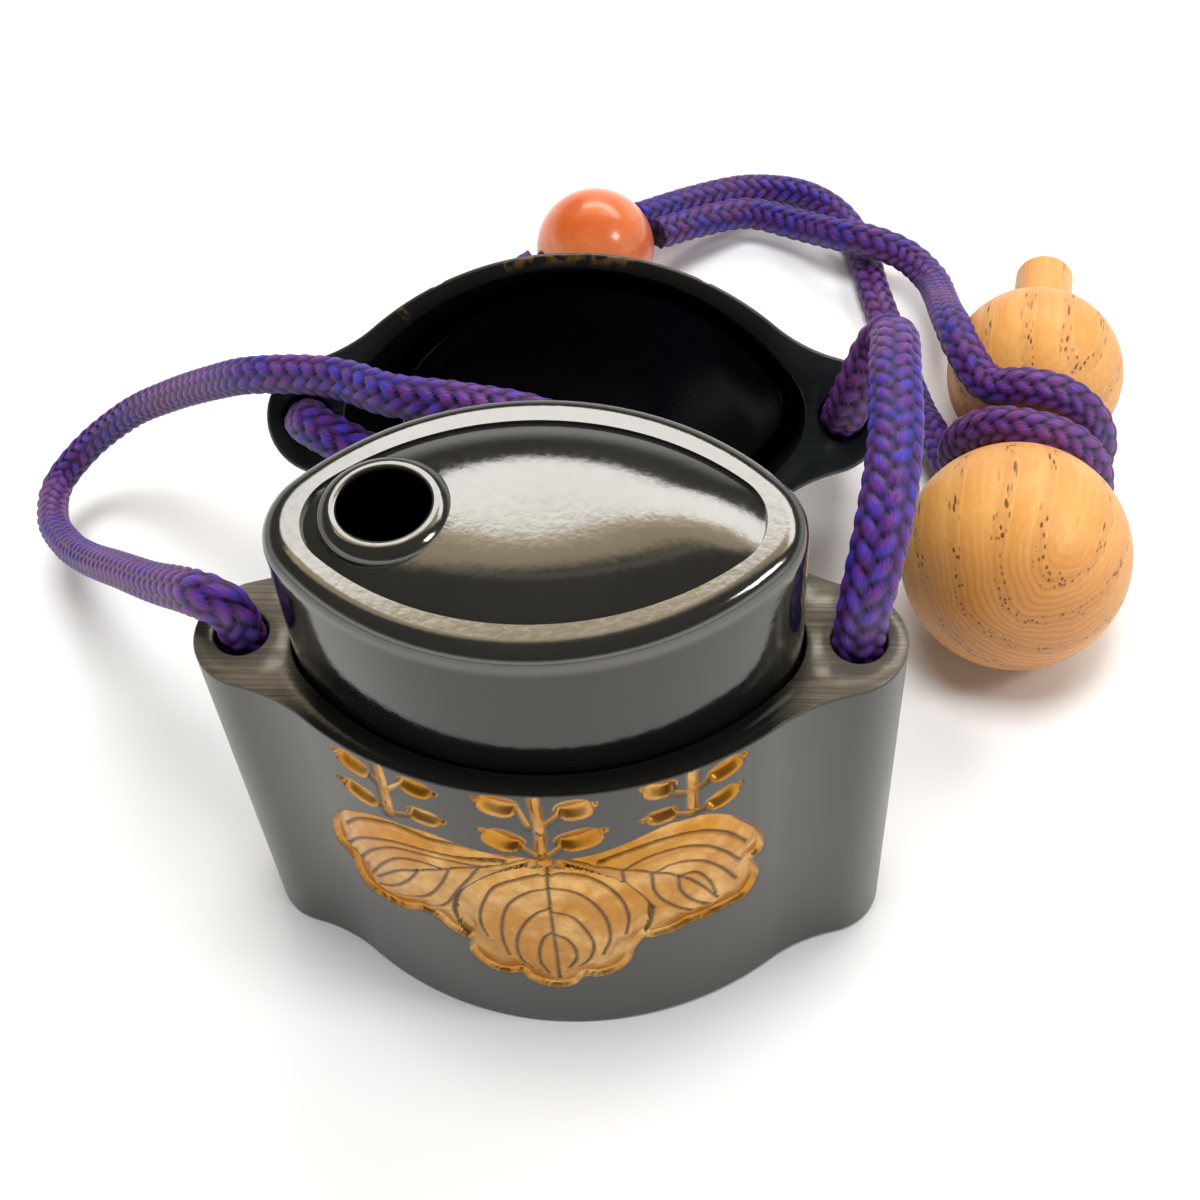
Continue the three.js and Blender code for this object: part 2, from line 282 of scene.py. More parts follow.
def plait_height(around, along):
    """Height of the topmost strand, 0 to 1. around is 0 to 1 round the cord, along is in mm."""
    u = around * STRANDS_EACH_WAY
    v = along / STRAND_STEP
    best = np.full(np.broadcast(u, v).shape, -2.0)
    for across, lengthwise, sign in ((u - v, u + v, 1), (u + v, u - v, -1)):
        index = np.floor(across)
        off_centre = across - index - 0.5
        waves = sign * np.sin((index + lengthwise) * math.pi / 2)
        strand = waves * 0.85 + np.sqrt(np.clip(1 - (2.05 * off_centre) ** 2, 0, 1))
        best = np.maximum(best, strand)
    return np.clip((best - 0.15) / 1.7, 0, 1)


# %% The cord's skin
CORD_THICKNESS = 4.1
CORD_GIRTH = 14.6
AROUND = 48  # points in one ring
RING_SPACING = 0.36
LINE_PASSES, SIDE_PASSES = 12, 60  # how often the line and its sideways direction are smoothed


def plaited_cord(name, points, facing, finish, widths):
    """A plaited tube along the points. facing is the way its flat side looks.

    widths gives the cord's width at some of the points, as (point number, width)."""
    route, _ = smooth_route(points, RING_SPACING)
    route = settle(route, LINE_PASSES)
    along = distance_along(route)
    tangent = np.gradient(route, axis=0)
    tangent /= np.linalg.norm(tangent, axis=1)[:, None]
    side = np.cross(tangent, np.asarray(facing, float))
    for i in range(1, len(side)):
        if side[i] @ side[i - 1] < 0:
            side[i] = -side[i]
    side = settle(side, SIDE_PASSES)
    side -= (side * tangent).sum(1)[:, None] * tangent
    side /= np.linalg.norm(side, axis=1)[:, None]
    front = np.cross(side, tangent)
    share = np.arange(AROUND) / AROUND
    angle = 2 * math.pi * share
    height = plait_height(share[None, :], along[:, None])
    nearest = [np.argmin(np.linalg.norm(route - points[index], axis=1)) for index, _ in widths]
    width = np.interp(along, along[nearest], [size for _, size in widths])
    half_w = (width / 2)[:, None] - PLAIT_DEPTH * (1 - height)
    half_t = CORD_THICKNESS / 2 - PLAIT_DEPTH * (1 - height)
    skin = (
        route[:, None, :]
        + side[:, None, :] * (half_w * np.cos(angle))[..., None]
        + front[:, None, :] * (half_t * np.sin(angle))[..., None]
    )
    count = len(route)
    faces = joined_rings(count, AROUND)
    faces.append(list(range(AROUND))[::-1])
    faces.append(list(range((count - 1) * AROUND, count * AROUND)))
    piece = make_piece(name, skin.reshape(-1, 3), faces, finish)
    point_values(piece, "plait", height.ravel())
    uv = piece.data.uv_layers.new(name="plait_map")
    loops = np.empty(len(piece.data.loops), np.int32)
    piece.data.loops.foreach_get("vertex_index", loops)
    flat_map = np.column_stack((share[loops % AROUND] * CORD_GIRTH, along[loops // AROUND]))
    uv.data.foreach_set("uv", flat_map.astype(np.float32).ravel())
    print(name, "is", round(along[-1], 1), "mm long")
    return piece, route, along[-1]


# %% [markdown]
# The finish of the cord: deep purple, with shade painted near black into the hollows between
# strands.
# The tops of the lumps vary at random from purple to blue-violet, and the shader's sheen adds a
# warmer pink where light grazes them. Stretched noise along the strands stands for the single
# threads; it also paints shade where a thread dips.


# %% Silk
THREAD_LEAN = 0.72  # radians from the cord's length


def silk_finish():
    silk = Finish(
        "silk", Roughness=0.5, Sheen_Weight=0.08, Sheen_Roughness=0.4,
        Sheen_Tint=colour(222, 120, 205), Specular_IOR_Level=0.55,
    )
    where = silk.node("UVMap", {"uv_map": "plait_map"}).outputs[0]
    leaning = []
    for lean in (THREAD_LEAN, -THREAD_LEAN):
        stretched = silk.node("Mapping", Vector=where, Rotation=(0, 0, lean), Scale=(2.5, 0.6, 1))
        leaning.append(silk.noise(stretched.outputs[0], 1.6, 2.0))
    threads = silk.plus(*leaning)
    lumps = silk.noise(silk.place(), 0.55, 2.0)
    drift = silk.noise(silk.place(), 0.07, 2.0)
    high = silk.mix(silk.ramp(lumps, 0.4, 0.62), colour(88, 36, 124), colour(56, 46, 168))
    high = silk.mix(silk.ramp(drift, 0.42, 0.64, 0.0, 0.6), high, colour(128, 66, 130))
    top = silk.ramp(silk.stored("plait"), 0.35, 0.95)
    # painted shade: the hollows between strands are coloured near black, the tops the silk's own
    # purple
    body = silk.mix(top, colour(14, 4, 32), high)
    # painted shade: the colour goes darker where the thread noise dips, as the bump does
    shade = silk.ramp(threads, 0.75, 1.25, 0.72, 1.18)
    shaded = silk.node("VectorMath", {"operation": "SCALE"}, i0=body, Scale=shade)
    silk.set("Base Color", shaded.outputs[0])
    silk.bump(threads, 0.09, 0.8)
    return silk.material


silk = silk_finish()

# %% [markdown]
# ## Where the cord runs
# From the bead the cord goes down through the lid's left ear, out in a drooping loop to the
# case's left ear, under the case inside its thick floor, up through the right ear, over to the
# lid's right ear, and back to the bead. The points are the same ones the cord's solid follows.

# %% Route through the case and the lid
CASE_CORD_ROUTE = [
    (-11.6, 98.6, 8.6), (-17.5, 95.2, 6.6), (-27.5, 89.5, 2.8), (-32.3, 79.0, 3.4),
    (-32.3, 68.2, 10.2), (-32.2, 65.5, 12.9), (-31.3, 36.3, 42.2), (-29.6, 32.6, 45.2),
    (-24.5, 29.0, 45.6), (-16.5, 26.4, 43.0), (-7.5, 25.0, 41.0), (1.0, 24.8, 43.2),
    (3.4, 24.8, 49.0), (-1.5, 25.2, 53.8), (-10.5, 27.2, 54.3), (-18.9, 29.4, 53.4),
    (-24.2, 33.5, 51.2), (-28.8, 36.0, 49.6), (-33.7, 37.8, 47.9), (-37.9, 39.8, 45.6),
    (-42.9, 43.7, 40.6), (-53.5, 52.1, 29.0), (-62.5, 57.1, 19.8), (-70.2, 57.2, 12.8),
    (-73.7, 53.5, 10.2), (-72.0, 45.4, 12.5), (-66.2, 36.2, 18.5), (-59.2, 27.5, 26.5),
    (-51.2, 18.5, 36.0), (-42.7, 9.0, 46.0), (-37.1, 3.4, 52.2), (-34.2, 1.0, 54.4),
    (-31.8, 0.1, 54.0), (-31.1, 0.0, 51.0), (-31.1, 0.0, 33.0), (-31.1, 0.0, 15.0),
    (-28.6, 0.0, 7.4), (-21.0, 0.0, 4.9), (0.0, 0.0, 4.9), (21.0, 0.0, 4.9),
    (28.6, 0.0, 7.4), (31.1, 0.0, 15.0), (31.1, 0.0, 33.0), (31.1, 0.0, 51.5),
    (31.5, 0.9, 55.0), (33.0, 6.2, 60.0), (34.4, 15.4, 62.0), (34.8, 25.6, 61.3),
    (35.2, 33.4, 58.3), (34.0, 37.2, 53.2), (32.0, 36.4, 47.4), (30.9, 37.6, 41.6),
    (30.1, 66.6, 12.1), (29.9, 70.6, 8.2), (27.6, 77.2, 3.6), (17.0, 80.8, 2.6),
    (-2.0, 80.8, 2.6), (-14.6, 81.8, 2.8), (-18.8, 86.2, 4.4), (-14.4, 91.0, 7.2),
    (-8.6, 94.8, 8.6),
]
CAMERA_SIDE = (0.05, -0.6, 0.8)
CASE_CORD_WIDTHS = [
    (0, 4.8), (6, 5.2), (15, 5.0), (20, 4.5), (22, 4.2), (26, 4.2), (29, 4.6), (31, 5.0),
    (42, 5.2), (43, 5.5), (45, 5.9), (47, 5.8), (49, 5.2), (55, 5.0),
]
case_cord, case_line, case_length = plaited_cord(
    "braided_cord", CASE_CORD_ROUTE, CAMERA_SIDE, silk, CASE_CORD_WIDTHS
)
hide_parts("cord")

# %% [markdown]
# The other stretch starts at the bead, climbs over the gourd's small bulb, takes two turns round
# its neck and comes back along the ground. The turns are a helix about the gourd's own axis.

# %% Route round the toggle's neck
GOURD_BELLY = np.array((53.65, 38.95, 14.3))
GOURD_HEAD = np.array((59.2, 72.9, 11.8))
gourd_axis = (GOURD_HEAD - GOURD_BELLY) / np.linalg.norm(GOURD_HEAD - GOURD_BELLY)
gourd_side = np.cross(gourd_axis, (0, 0, 1))
gourd_side /= np.linalg.norm(gourd_side)
gourd_up = np.cross(gourd_side, gourd_axis)


def round_neck(degrees, radius, along):
    """A point round the gourd's axis: 0 degrees is its right side and 90 its top."""
    angle = math.radians(degrees)
    outward = math.cos(angle) * gourd_side + math.sin(angle) * gourd_up
    return tuple(GOURD_BELLY + along * gourd_axis + radius * outward)


HIGH_STRAND = [
    (6.3, 104.9, 8.6), (12.4, 110.0, 6.4), (20.2, 114.2, 4.4), (27.8, 111.0, 4.8),
    (33.4, 106.4, 7.0), (38.4, 104.0, 7.8), (43.4, 102.0, 6.8), (46.6, 96.4, 7.6),
    (47.2, 87.8, 12.0), (47.1, 79.6, 17.2), (47.4, 73.4, 20.5), (48.3, 69.0, 20.9),
]
LOW_STRAND = [
    (45.2, 69.0, 5.2), (44.6, 71.6, 4.2), (43.2, 79.0, 2.7), (41.2, 88.6, 2.5),
    (38.8, 99.6, 2.5), (37.2, 108.6, 2.5), (33.6, 116.4, 2.5), (28.2, 120.8, 2.5),
    (20.2, 121.2, 3.2), (12.2, 116.2, 5.6), (3.2, 108.6, 8.6),
]
turns = [round_neck(130, 9.3, 23.2)]
turns += [round_neck(d, 9.1, 21.6 - 1.2 * (90 - d) / 180) for d in range(100, -91, -30)]
turns += [round_neck(d, 9.1, 20.2 - 6.5 * (-110 - d) / 160) for d in range(-120, -271, -30)]
turns += [round_neck(d, 9.1, 13.7) for d in range(-300, -451, -30)]
turns += [round_neck(-478, 9.2, 14.6), round_neck(-505, 9.8, 18.0)]
TOGGLE_CORD_WIDTHS = [(0, 4.8), (6, 5.0), (12, 5.2), (-1, 4.8)]
toggle_cord, toggle_line, toggle_length = plaited_cord(
    "toggle_cord", HIGH_STRAND + turns + LOW_STRAND, CAMERA_SIDE, silk, TOGGLE_CORD_WIDTHS
)
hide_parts("cord_high_strand", "cord_low_strand", "cord_wrap")

# %% [markdown]
# Both runs are free cords: each leaves the bead and goes back into it. The builder prints the
# length of each.

# %% [markdown]
# ## Closed outlines
# Seen from above the case is a lens: two shallow bellies, a round ear at each end for the cord,
# and a hollow easing one into the other. The flask and the lid's hollow are plain pointed ovals.
# All are arcs that touch each other. Each outline is stored very densely once, with the distance
# along it from the middle of the front, so that any place on a wall can be asked for by distance.


# %% Outline
DENSE_STEP = 0.02


def arc(centre, radius, start, end):
    steps = max(2, int(abs(end - start) * radius / DENSE_STEP))
    angles = start + (end - start) * np.arange(steps) / steps
    return np.asarray(centre) + radius * np.column_stack((np.cos(angles), np.sin(angles)))


class Outline:
    """A closed line that starts in the middle of the front and runs towards the right."""

    def __init__(self, arcs):
        self.ring = np.vstack(arcs + [arcs[0][:1]])
        self.along = distance_along(self.ring)
        self.length = self.along[-1]

    def at(self, distances):
        wanted = np.mod(np.asarray(distances, float), self.length)
        return np.column_stack([np.interp(wanted, self.along, self.ring[:, k]) for k in range(2)])

    def outward(self, distances):
        forward = self.at(distances + 0.05) - self.at(distances - 0.05)
        forward /= np.linalg.norm(forward, axis=1)[:, None]
        return np.column_stack((forward[:, 1], -forward[:, 0]))

    def loop(self, distances, inset=0.0):
        """Points of the outline, drawn in by inset."""
        distances = np.asarray(distances, float)
        return self.at(distances) - np.reshape(inset, (-1, 1)) * self.outward(distances)


def lens_with_ears(half_width, half_depth, belly_radius, ear_radius, waist_radius):
    ear_x, belly_y = half_width - ear_radius, belly_radius - half_depth
    span = math.hypot(ear_x, belly_y)
    to_belly, to_ear = belly_radius + waist_radius, ear_radius + waist_radius
    along = (to_belly**2 - to_ear**2 + span**2) / (2 * span)
    across = math.sqrt(to_belly**2 - along**2)
    ux, uy = ear_x / span, -belly_y / span
    hx, hy = along * ux + across * uy, belly_y + along * uy - across * ux
    b, g, half = math.atan2(hy - belly_y, hx), math.atan2(-hy, ear_x - hx), math.pi
    return Outline([
        arc((0, belly_y), belly_radius, -half / 2, b),
        arc((hx, hy), waist_radius, b + half, g),
        arc((ear_x, 0), ear_radius, g - half, half - g),
        arc((hx, -hy), waist_radius, -g, -b - half),
        arc((0, -belly_y), belly_radius, -b, half + b),
        arc((-hx, -hy), waist_radius, b + 2 * half, half + g),
        arc((-ear_x, 0), ear_radius, g, 2 * half - g),
        arc((-hx, hy), waist_radius, half - g, -b),
        arc((0, belly_y), belly_radius, -half - b, -half / 2),
    ])


def pointed_oval(half_width, half_depth, end_radius):
    end_x = half_width - end_radius
    cy = (end_x**2 - (half_depth - end_radius) ** 2) / (2 * (half_depth - end_radius))
    radius, tilt, half = cy + half_depth, math.atan2(-cy, end_x), math.pi
    return Outline([
        arc((0, cy), radius, -half / 2, tilt),
        arc((end_x, 0), end_radius, tilt, -tilt),
        arc((0, -cy), radius, -tilt, half + tilt),
        arc((-end_x, 0), end_radius, half + tilt, half - tilt),
        arc((0, cy), radius, -half - tilt, -half / 2),
    ])


case_outline = lens_with_ears(36.0, 18.8, 36.3, 6.75, 19.2)
flask_outline = pointed_oval(25.6, 16.05, 8.0)
print("mm round the case:", round(case_outline.length, 1), "flask:", round(flask_outline.length, 1))

# %% [markdown]
# ## The carved crest
# The front carries a paulownia crest, a common family badge of Japan: three broad leaves with
# curved veins, and sprays of buds standing above them. It is cut into the wood and filled with
# gold. Each shape is drawn on the unrolled wall as (distance along the wall, height). A leaf is
# let in about half a millimetre and swells up again towards its middle, a vein is a thin groove,
# and a bud is a small scoop with a long slope above and a short steep one below.

# %% The three leaves and their veins
CENTRE_LEAF = [
    (0.1, 36.1), (-2.5, 35.2), (-5.2, 33.5), (-7.6, 31), (-9.6, 28.1), (-10.6, 24.9),
    (-10.9, 21.3), (-10.4, 19.1), (-9.5, 18), (-9.8, 15), (-9, 13), (-7.7, 11.7), (-5.9, 11.3),
    (-4.2, 12.1), (-3.5, 10.6), (-1.9, 9.4), (-0.2, 9.1), (1.5, 9.9), (2.7, 11.8), (4.4, 11.6),
    (6.4, 12.5), (7.8, 14.5), (8.4, 17.1), (9.2, 18.7), (10.1, 20.3), (10.6, 23), (10.4, 26),
    (9.2, 29.1), (7.7, 31.7), (5.5, 33.7), (3.1, 35.2), (0.1, 36.1),
]
LEFT_LEAF = [
    (-0.5, 37.5), (-2.7, 38), (-5.3, 38), (-7.3, 38.3), (-9.3, 38.8), (-11.4, 39.3), (-13.7, 39.1),
    (-16.1, 38.7), (-18.4, 38), (-21, 36.3), (-22.8, 34.9), (-24.6, 32.2), (-25.7, 29.8),
    (-26, 27.4), (-25.8, 25.4), (-24.7, 24.5), (-23.9, 23.9), (-23.8, 21.9), (-23.3, 19.7),
    (-21.9, 18.5), (-19.6, 18.7), (-17.4, 19.1), (-15, 20.7), (-13.2, 20.5), (-11.8, 18.9),
    (-10.5, 18.1), (-9.6, 18), (-5.2, 28.5), (-0.5, 37.5),
]
RIGHT_LEAF = [
    (0.9, 37.5), (3.8, 37.9), (5.8, 38.4), (8.3, 39.4), (10.7, 40.5), (12.7, 41.2), (15, 41),
    (16.6, 40.7), (18.3, 39.5), (20, 37.7), (21, 35.8), (22.2, 33.9), (23.3, 31.4), (23.7, 29.1),
    (23.2, 27.6), (22.3, 27.2), (22.9, 24.7), (22.9, 22.5), (22.3, 20.9), (21.4, 19.8),
    (20.1, 19.5), (18.5, 19.6), (16.6, 19.4), (14.7, 19.6), (13, 18.9), (11.3, 18.8), (10.1, 19),
    (5.3, 28.9), (0.9, 37.5),
]
CENTRE_VEINS = [
    [(0.3, 36.5), (0.1, 31.5), (0, 25), (0, 18.1), (-0.1, 10.4)],
    [(0.1, 34.5), (-2.6, 33.1), (-5.5, 30.7), (-7.1, 27.1), (-7.9, 23), (-7.5, 19)],
    [(0.1, 31.8), (-2, 30.7), (-4.2, 27.9), (-5.4, 23.5), (-5.7, 19.3), (-5.3, 15.9)],
    [(0, 27.7), (-1.7, 26), (-3.3, 22.8), (-4.2, 19.1), (-4, 15.1), (-3.1, 12.9)],
    [(-0.1, 22.3), (-1, 21.1), (-1.8, 17.9), (-1.9, 14.8), (-1.2, 12.5)],
    [(0.3, 34.5), (3.5, 33.7), (5.9, 31.3), (7.5, 27.9), (8.1, 24.1), (7.7, 20.2)],
    [(0.2, 32), (2.8, 30.8), (4.7, 28), (5.8, 24), (5.9, 19.9), (5, 16.5)],
    [(0.1, 26.8), (2, 25.7), (3.4, 22.6), (4.1, 19.1), (3.6, 16.1), (2.3, 13.8)],
    [(0, 21.9), (1.2, 20.7), (2, 18.6), (2.1, 16.2), (1.1, 13.6)],
]
SIDE_VEINS = [
    [(-0.5, 37.3), (-4.5, 35.8), (-8.9, 33.8), (-12.5, 31.3), (-16.4, 28.3), (-20.3, 23.5)],
    [(-2.8, 37.6), (-7.4, 37.7), (-11.7, 37.6), (-16.3, 37.4), (-20.9, 34.6), (-23.7, 30.9)],
    [(-3.9, 36.6), (-7.6, 36), (-12, 35.4), (-16.2, 34.4), (-21.1, 30.9), (-24.5, 26)],
    [(-6.6, 35.1), (-9.8, 34.7), (-13.3, 34.1), (-16.4, 33), (-20, 29.4), (-22.6, 25.1)],
    [(-11.2, 32.5), (-13.6, 32.3), (-16.2, 31), (-18.7, 27.9), (-21.2, 23.3)],
    [(-14.1, 30.2), (-15.6, 27), (-18.2, 23.4), (-20.4, 21.7)],
    [(-10.3, 32.6), (-11.6, 28.9), (-13.6, 25.1), (-16.5, 22.4), (-19.2, 20.9)],
    [(-6.9, 34.6), (-8, 32.1), (-9.7, 28.7), (-11.6, 24.5), (-13.6, 22.3)],
    [(0.9, 37.3), (5.6, 35.6), (9.6, 33.6), (13.8, 30.4), (16.2, 26.6), (18, 22.7)],
    [(5.5, 36.4), (9.8, 38), (12.9, 38.6), (16.1, 37.8), (19.1, 35.1), (21.6, 31)],
    [(8.1, 34.6), (10.7, 36), (13.9, 36.1), (16.6, 34.6), (19.1, 31.4), (20.9, 27.7)],
    [(11.2, 32.7), (13.3, 33.2), (16, 32), (18.3, 29), (20.3, 24.6)],
    [(13.4, 30.6), (15.4, 30.1), (17, 27.2), (17.8, 23.8)],
    [(7.8, 34.5), (8, 31.6), (9.4, 28.2), (10.9, 25.1)],
    [(10.8, 32.6), (11.1, 28.3), (12.8, 24.7), (15, 21.9)],
    [(13.6, 30.3), (13.8, 27.4), (15.1, 24.3), (17.2, 21.6)],
]

# %% [markdown]
# The buds stand in three sprays. On the real piece the middle and side sprays run on over the
# seam, so the ones above height 50 belong to the lid.

# %% Buds and stalks
BUDS = [  # outer tip, end at the stalk, half height
    ((-6.2, 48.6), (-1.7, 47.2), 2.1), ((-6, 42.9), (-1.8, 40.1), 2.2),
    ((6.1, 48), (1.9, 46.8), 2.0), ((6.8, 43), (1.6, 40.7), 2.1),
    ((-21.8, 48), (-17.3, 46.9), 2.0), ((-22.1, 42.4), (-17.1, 41.5), 1.9),
    ((-9.6, 47.5), (-13.9, 48), 1.8), ((-9.3, 42.5), (-13.6, 42.6), 1.7),
    ((10.1, 49.1), (13.7, 47.8), 1.8), ((9.9, 43.2), (13.8, 43.5), 1.5),
    ((21.4, 48.6), (17.1, 47.1), 1.8), ((20.9, 43.8), (16.8, 42), 1.7),
    ((-6.2, 55.2), (-1.7, 53.4), 1.9), ((6.2, 55.2), (1.8, 53.4), 1.9),
    ((-5.6, 61.6), (-1.5, 59.8), 1.7), ((5.6, 61.6), (1.5, 59.8), 1.7),
    ((-4.8, 67.4), (-1.2, 65.8), 1.4), ((4.8, 67.4), (1.2, 65.8), 1.4),
    ((0, 73.6), (0, 69.4), 1.4), ((-22, 54.6), (-18, 53), 1.7),
    ((-11.2, 55.2), (-15.4, 53.6), 1.7), ((-22.6, 60.4), (-19.4, 58.9), 1.4),
    ((-13.6, 61.4), (-17.2, 59.6), 1.4), ((-20.2, 66.8), (-18.8, 62.9), 1.3),
    ((22, 54.6), (18, 53), 1.7), ((11.2, 55.2), (15.4, 53.6), 1.7),
    ((22.6, 60.4), (19.4, 58.9), 1.4), ((13.6, 61.4), (17.2, 59.6), 1.4),
    ((20.2, 66.8), (18.8, 62.9), 1.3),
]
STALKS = [
    [(-0.1, 69.5), (-0.1, 50), (0.1, 43.2), (-0.1, 38)],
    [(-18.7, 63.2), (-17.4, 57.5), (-16.1, 50), (-15.9, 47.1), (-16, 40.3)],
    [(18.7, 63.2), (17.4, 57.5), (15.6, 50), (15.5, 46.2), (15.4, 42)],
    [(-17.3, 46.9), (-16.3, 45.8)], [(-17, 41.7), (-16.2, 41.2)], [(-13.9, 47.1), (-15.7, 44.8)],
    [(-13.7, 41.6), (-16, 40.5)], [(-1.7, 47.2), (-0.9, 43.9)], [(-2, 40.1), (-0.4, 38.1)],
    [(2.2, 46.4), (0.4, 44)], [(1.9, 40.1), (0.4, 38.1)], [(13.7, 46.7), (15.3, 45.7)],
    [(13.8, 42.7), (15.3, 41.8)], [(17.1, 47.1), (15.8, 46)], [(16.8, 42), (15.6, 42)],
    [(-1.7, 53.4), (0, 50.8)], [(1.8, 53.4), (0, 50.8)], [(-1.5, 59.8), (0, 57.4)],
    [(1.5, 59.8), (0, 57.4)], [(-1.2, 65.8), (0, 63.8)], [(1.2, 65.8), (0, 63.8)],
    [(-18, 53), (-16.4, 51.6)], [(-15.4, 53.6), (-16.5, 52)], [(-19.4, 58.9), (-17.6, 57.4)],
    [(-17.2, 59.6), (-17.7, 58)], [(18, 53), (16.3, 51.6)], [(15.4, 53.6), (16.3, 52)],
    [(19.4, 58.9), (17.6, 57.4)], [(17.2, 59.6), (17.7, 58)],
]


# %% [markdown]
# Every carved shape comes down to a distance: from a leaf's edge, from a vein, from a stalk. So
# one helper measures distances to a line and another says whether a place lies inside one.

# %% Distances on the unrolled wall
def smooth_line(points, spacing=0.35):
    route, _ = smooth_route([(x, y, 0) for x, y in points], spacing)
    return route[:, :2]


def distance_to(line, where, reach):
    """Distance from each place to a line, measured up to reach."""
    line = np.asarray(line, float)
    best = np.full(len(where), 1e3)
    near = ((where > line.min(0) - reach) & (where < line.max(0) + reach)).all(1)
    spots, found = where[near], best[near]
    for a, b in zip(line, line[1:]):
        step = b - a
        share = np.clip(((spots - a) @ step) / max(step @ step, 1e-12), 0, 1)
        found = np.minimum(found, np.linalg.norm(spots - a - share[:, None] * step, axis=1))
    best[near] = found
    return best


def inside(line, where):
    """True where a place lies within a closed line."""
    hits = np.zeros(len(where), int)
    for (x0, y0), (x1, y1) in zip(line, np.roll(line, -1, axis=0)):
        if y0 != y1:
            crosses = (where[:, 1] >= min(y0, y1)) & (where[:, 1] < max(y0, y1))
            hits += crosses & (where[:, 0] < x0 + (where[:, 1] - y0) * (x1 - x0) / (y1 - y0))
    return hits % 2 == 1


def ease(value, low, high):
    """0 below low, 1 above high, smooth between."""
    t = np.clip((value - low) / (high - low), 0, 1)
    return t * t * (3 - 2 * t)


# %% [markdown]
# The drawing is then read as three numbers for each place on the wall: how deep the knife went,
# how much gold lies there, and how much shade is painted there: dark in the veins, the creases
# and the stalks' channels, plus one small dark spot.

# %% The crest as depth, gold and groove
SEAM = 49.8  # the carving stops just short of the seam
LET_IN = 0.65  # how far the leaves are cut in
BUD_DEPTH = 1.0


def bud_scoop(where, tip, foot, half):
    """Distance in from a bud's edge, and the depth of its scoop."""
    tip, foot = np.array(tip, float), np.array(foot, float)
    length = np.linalg.norm(foot - tip)
    axis = (foot - tip) / length
    rise = np.array((-axis[1], axis[0])) * (1 if axis[0] >= 0 else -1)
    along = (where - tip) @ axis / length
    across = (where - tip) @ rise
    t = np.clip(along, 0, 1)
    body = half * np.clip(1 - np.abs((t - 0.58) / 0.42) ** 2.6, 0, 1) ** (1 / 2.6)
    knob = 0.5 * np.sqrt(np.clip(1 - ((t - 0.14) / 0.15) ** 2, 0, 1))
    top, bottom = np.maximum(0.8 * body, knob), -np.maximum(1.0 * body, knob)
    into = np.where((along > 0) & (along < 1), np.minimum(top - across, across - bottom), -1.0)
    down = (top - across) / np.maximum(top - bottom, 1e-3)
    wedge = np.minimum(down / 0.66, (1 - down) / 0.34)
    return into, -BUD_DEPTH * ease(wedge, -0.1, 1.1) * ease(into, -0.05, 0.35)


def carved_crest(where):
    """Depth in mm (inward is negative), gold cover and painted shade in the grooves at places on
    the wall.
    """
    # painted shade: the third mask darkens veins, leaf overlaps, stalk edges and the knot's ring
    depth, gold, groove = np.zeros(len(where)), np.zeros(len(where)), np.zeros(len(where))
    edges = []
    for leaf in (LEFT_LEAF, RIGHT_LEAF, CENTRE_LEAF):
        line = smooth_line(leaf)
        off = np.minimum(distance_to(line, where, 4.0), 4.0)
        into = np.where(inside(line, where), off, -off)
        edges.append(into)
        let_in = -LET_IN * ease(into, -0.08, 0.22) + (LET_IN - 0.1) * ease(into, 0.15, 3.6)
        depth = np.where(into > -0.08, let_in, depth)
        gold = np.maximum(gold, ease(into, -0.14, 0.02))
    side, centre = np.maximum(edges[0], edges[1]), edges[2]
    leaves = np.maximum(side, centre)
    overlap = ease(0.32 - np.abs(centre), 0, 0.2) * (side > 0.3)
    depth -= 0.2 * overlap
    groove = np.maximum(groove, overlap)
    for veins, owner in ((CENTRE_VEINS, centre), (SIDE_VEINS, np.where(centre > 0.2, -1.0, side))):
        for vein in veins:
            off = distance_to(smooth_line(vein, 0.5), where, 1.6)
            cut = ease(0.17 - off, -0.15, 0.1) * (owner > 0.1)
            groove = np.maximum(groove, cut)
            # the leaf swells into a soft ridge beside each vein
            depth += (0.22 * (1 - ease(off, 0.25, 1.15)) - 0.3 * cut) * ease(owner, 0.1, 0.8)
    for tip, foot, half in BUDS:
        into, scoop = bud_scoop(where, tip, foot, half)
        depth = np.minimum(depth, scoop)
        gold = np.maximum(gold, ease(into, -0.12, 0.04))
    for number, stalk in enumerate(STALKS):
        half = 0.55 if number < 3 else 0.3
        off = distance_to(smooth_line(stalk) if len(stalk) > 2 else stalk, where, 1.2)
        cut = ease(half - off, -0.15, 0.15) * (leaves < 0.3)
        ridge = 0.22 * ease(0.22 - off, -0.1, 0.1) * (number < 3)
        depth = np.minimum(depth, -0.42 * cut + ridge)
        gold = np.maximum(gold, cut)
        groove = np.maximum(groove, 0.55 * cut * ease(off, half - 0.2, half))
    knot = np.linalg.norm(where - (0.2, 37.0), axis=1)
    ring = ease(0.22 - np.abs(knot - 0.85), 0, 0.15)
    depth -= 0.15 * ring
    groove = np.maximum(groove, 0.8 * ring)
    gold = np.maximum(gold, ease(1.2 - knot, 0, 0.2))
    # one small dark spot on the main stalk goes into the same mask
    chip = np.linalg.norm(where - (-0.1, 42.2), axis=1)
    groove = np.maximum(groove, ease(0.42 - chip, 0, 0.12))
    clear = ease(np.abs(where[:, 1] - SEAM), 0.25, 0.6)
    return depth * clear, gold * clear, groove * clear


# %% [markdown]
# ## One builder for case and lid
# The case and the lid are the same kind of shell: an outer wall that follows the outline, a flat
# land at the open end, and a flat foot. Only the crest needs a fine mesh, so the wall has fine
# columns and fine rows there and wide ones elsewhere. Where they meet, one many-sided but flat
# face takes up all the fine rows. The shell is built with its open end up.


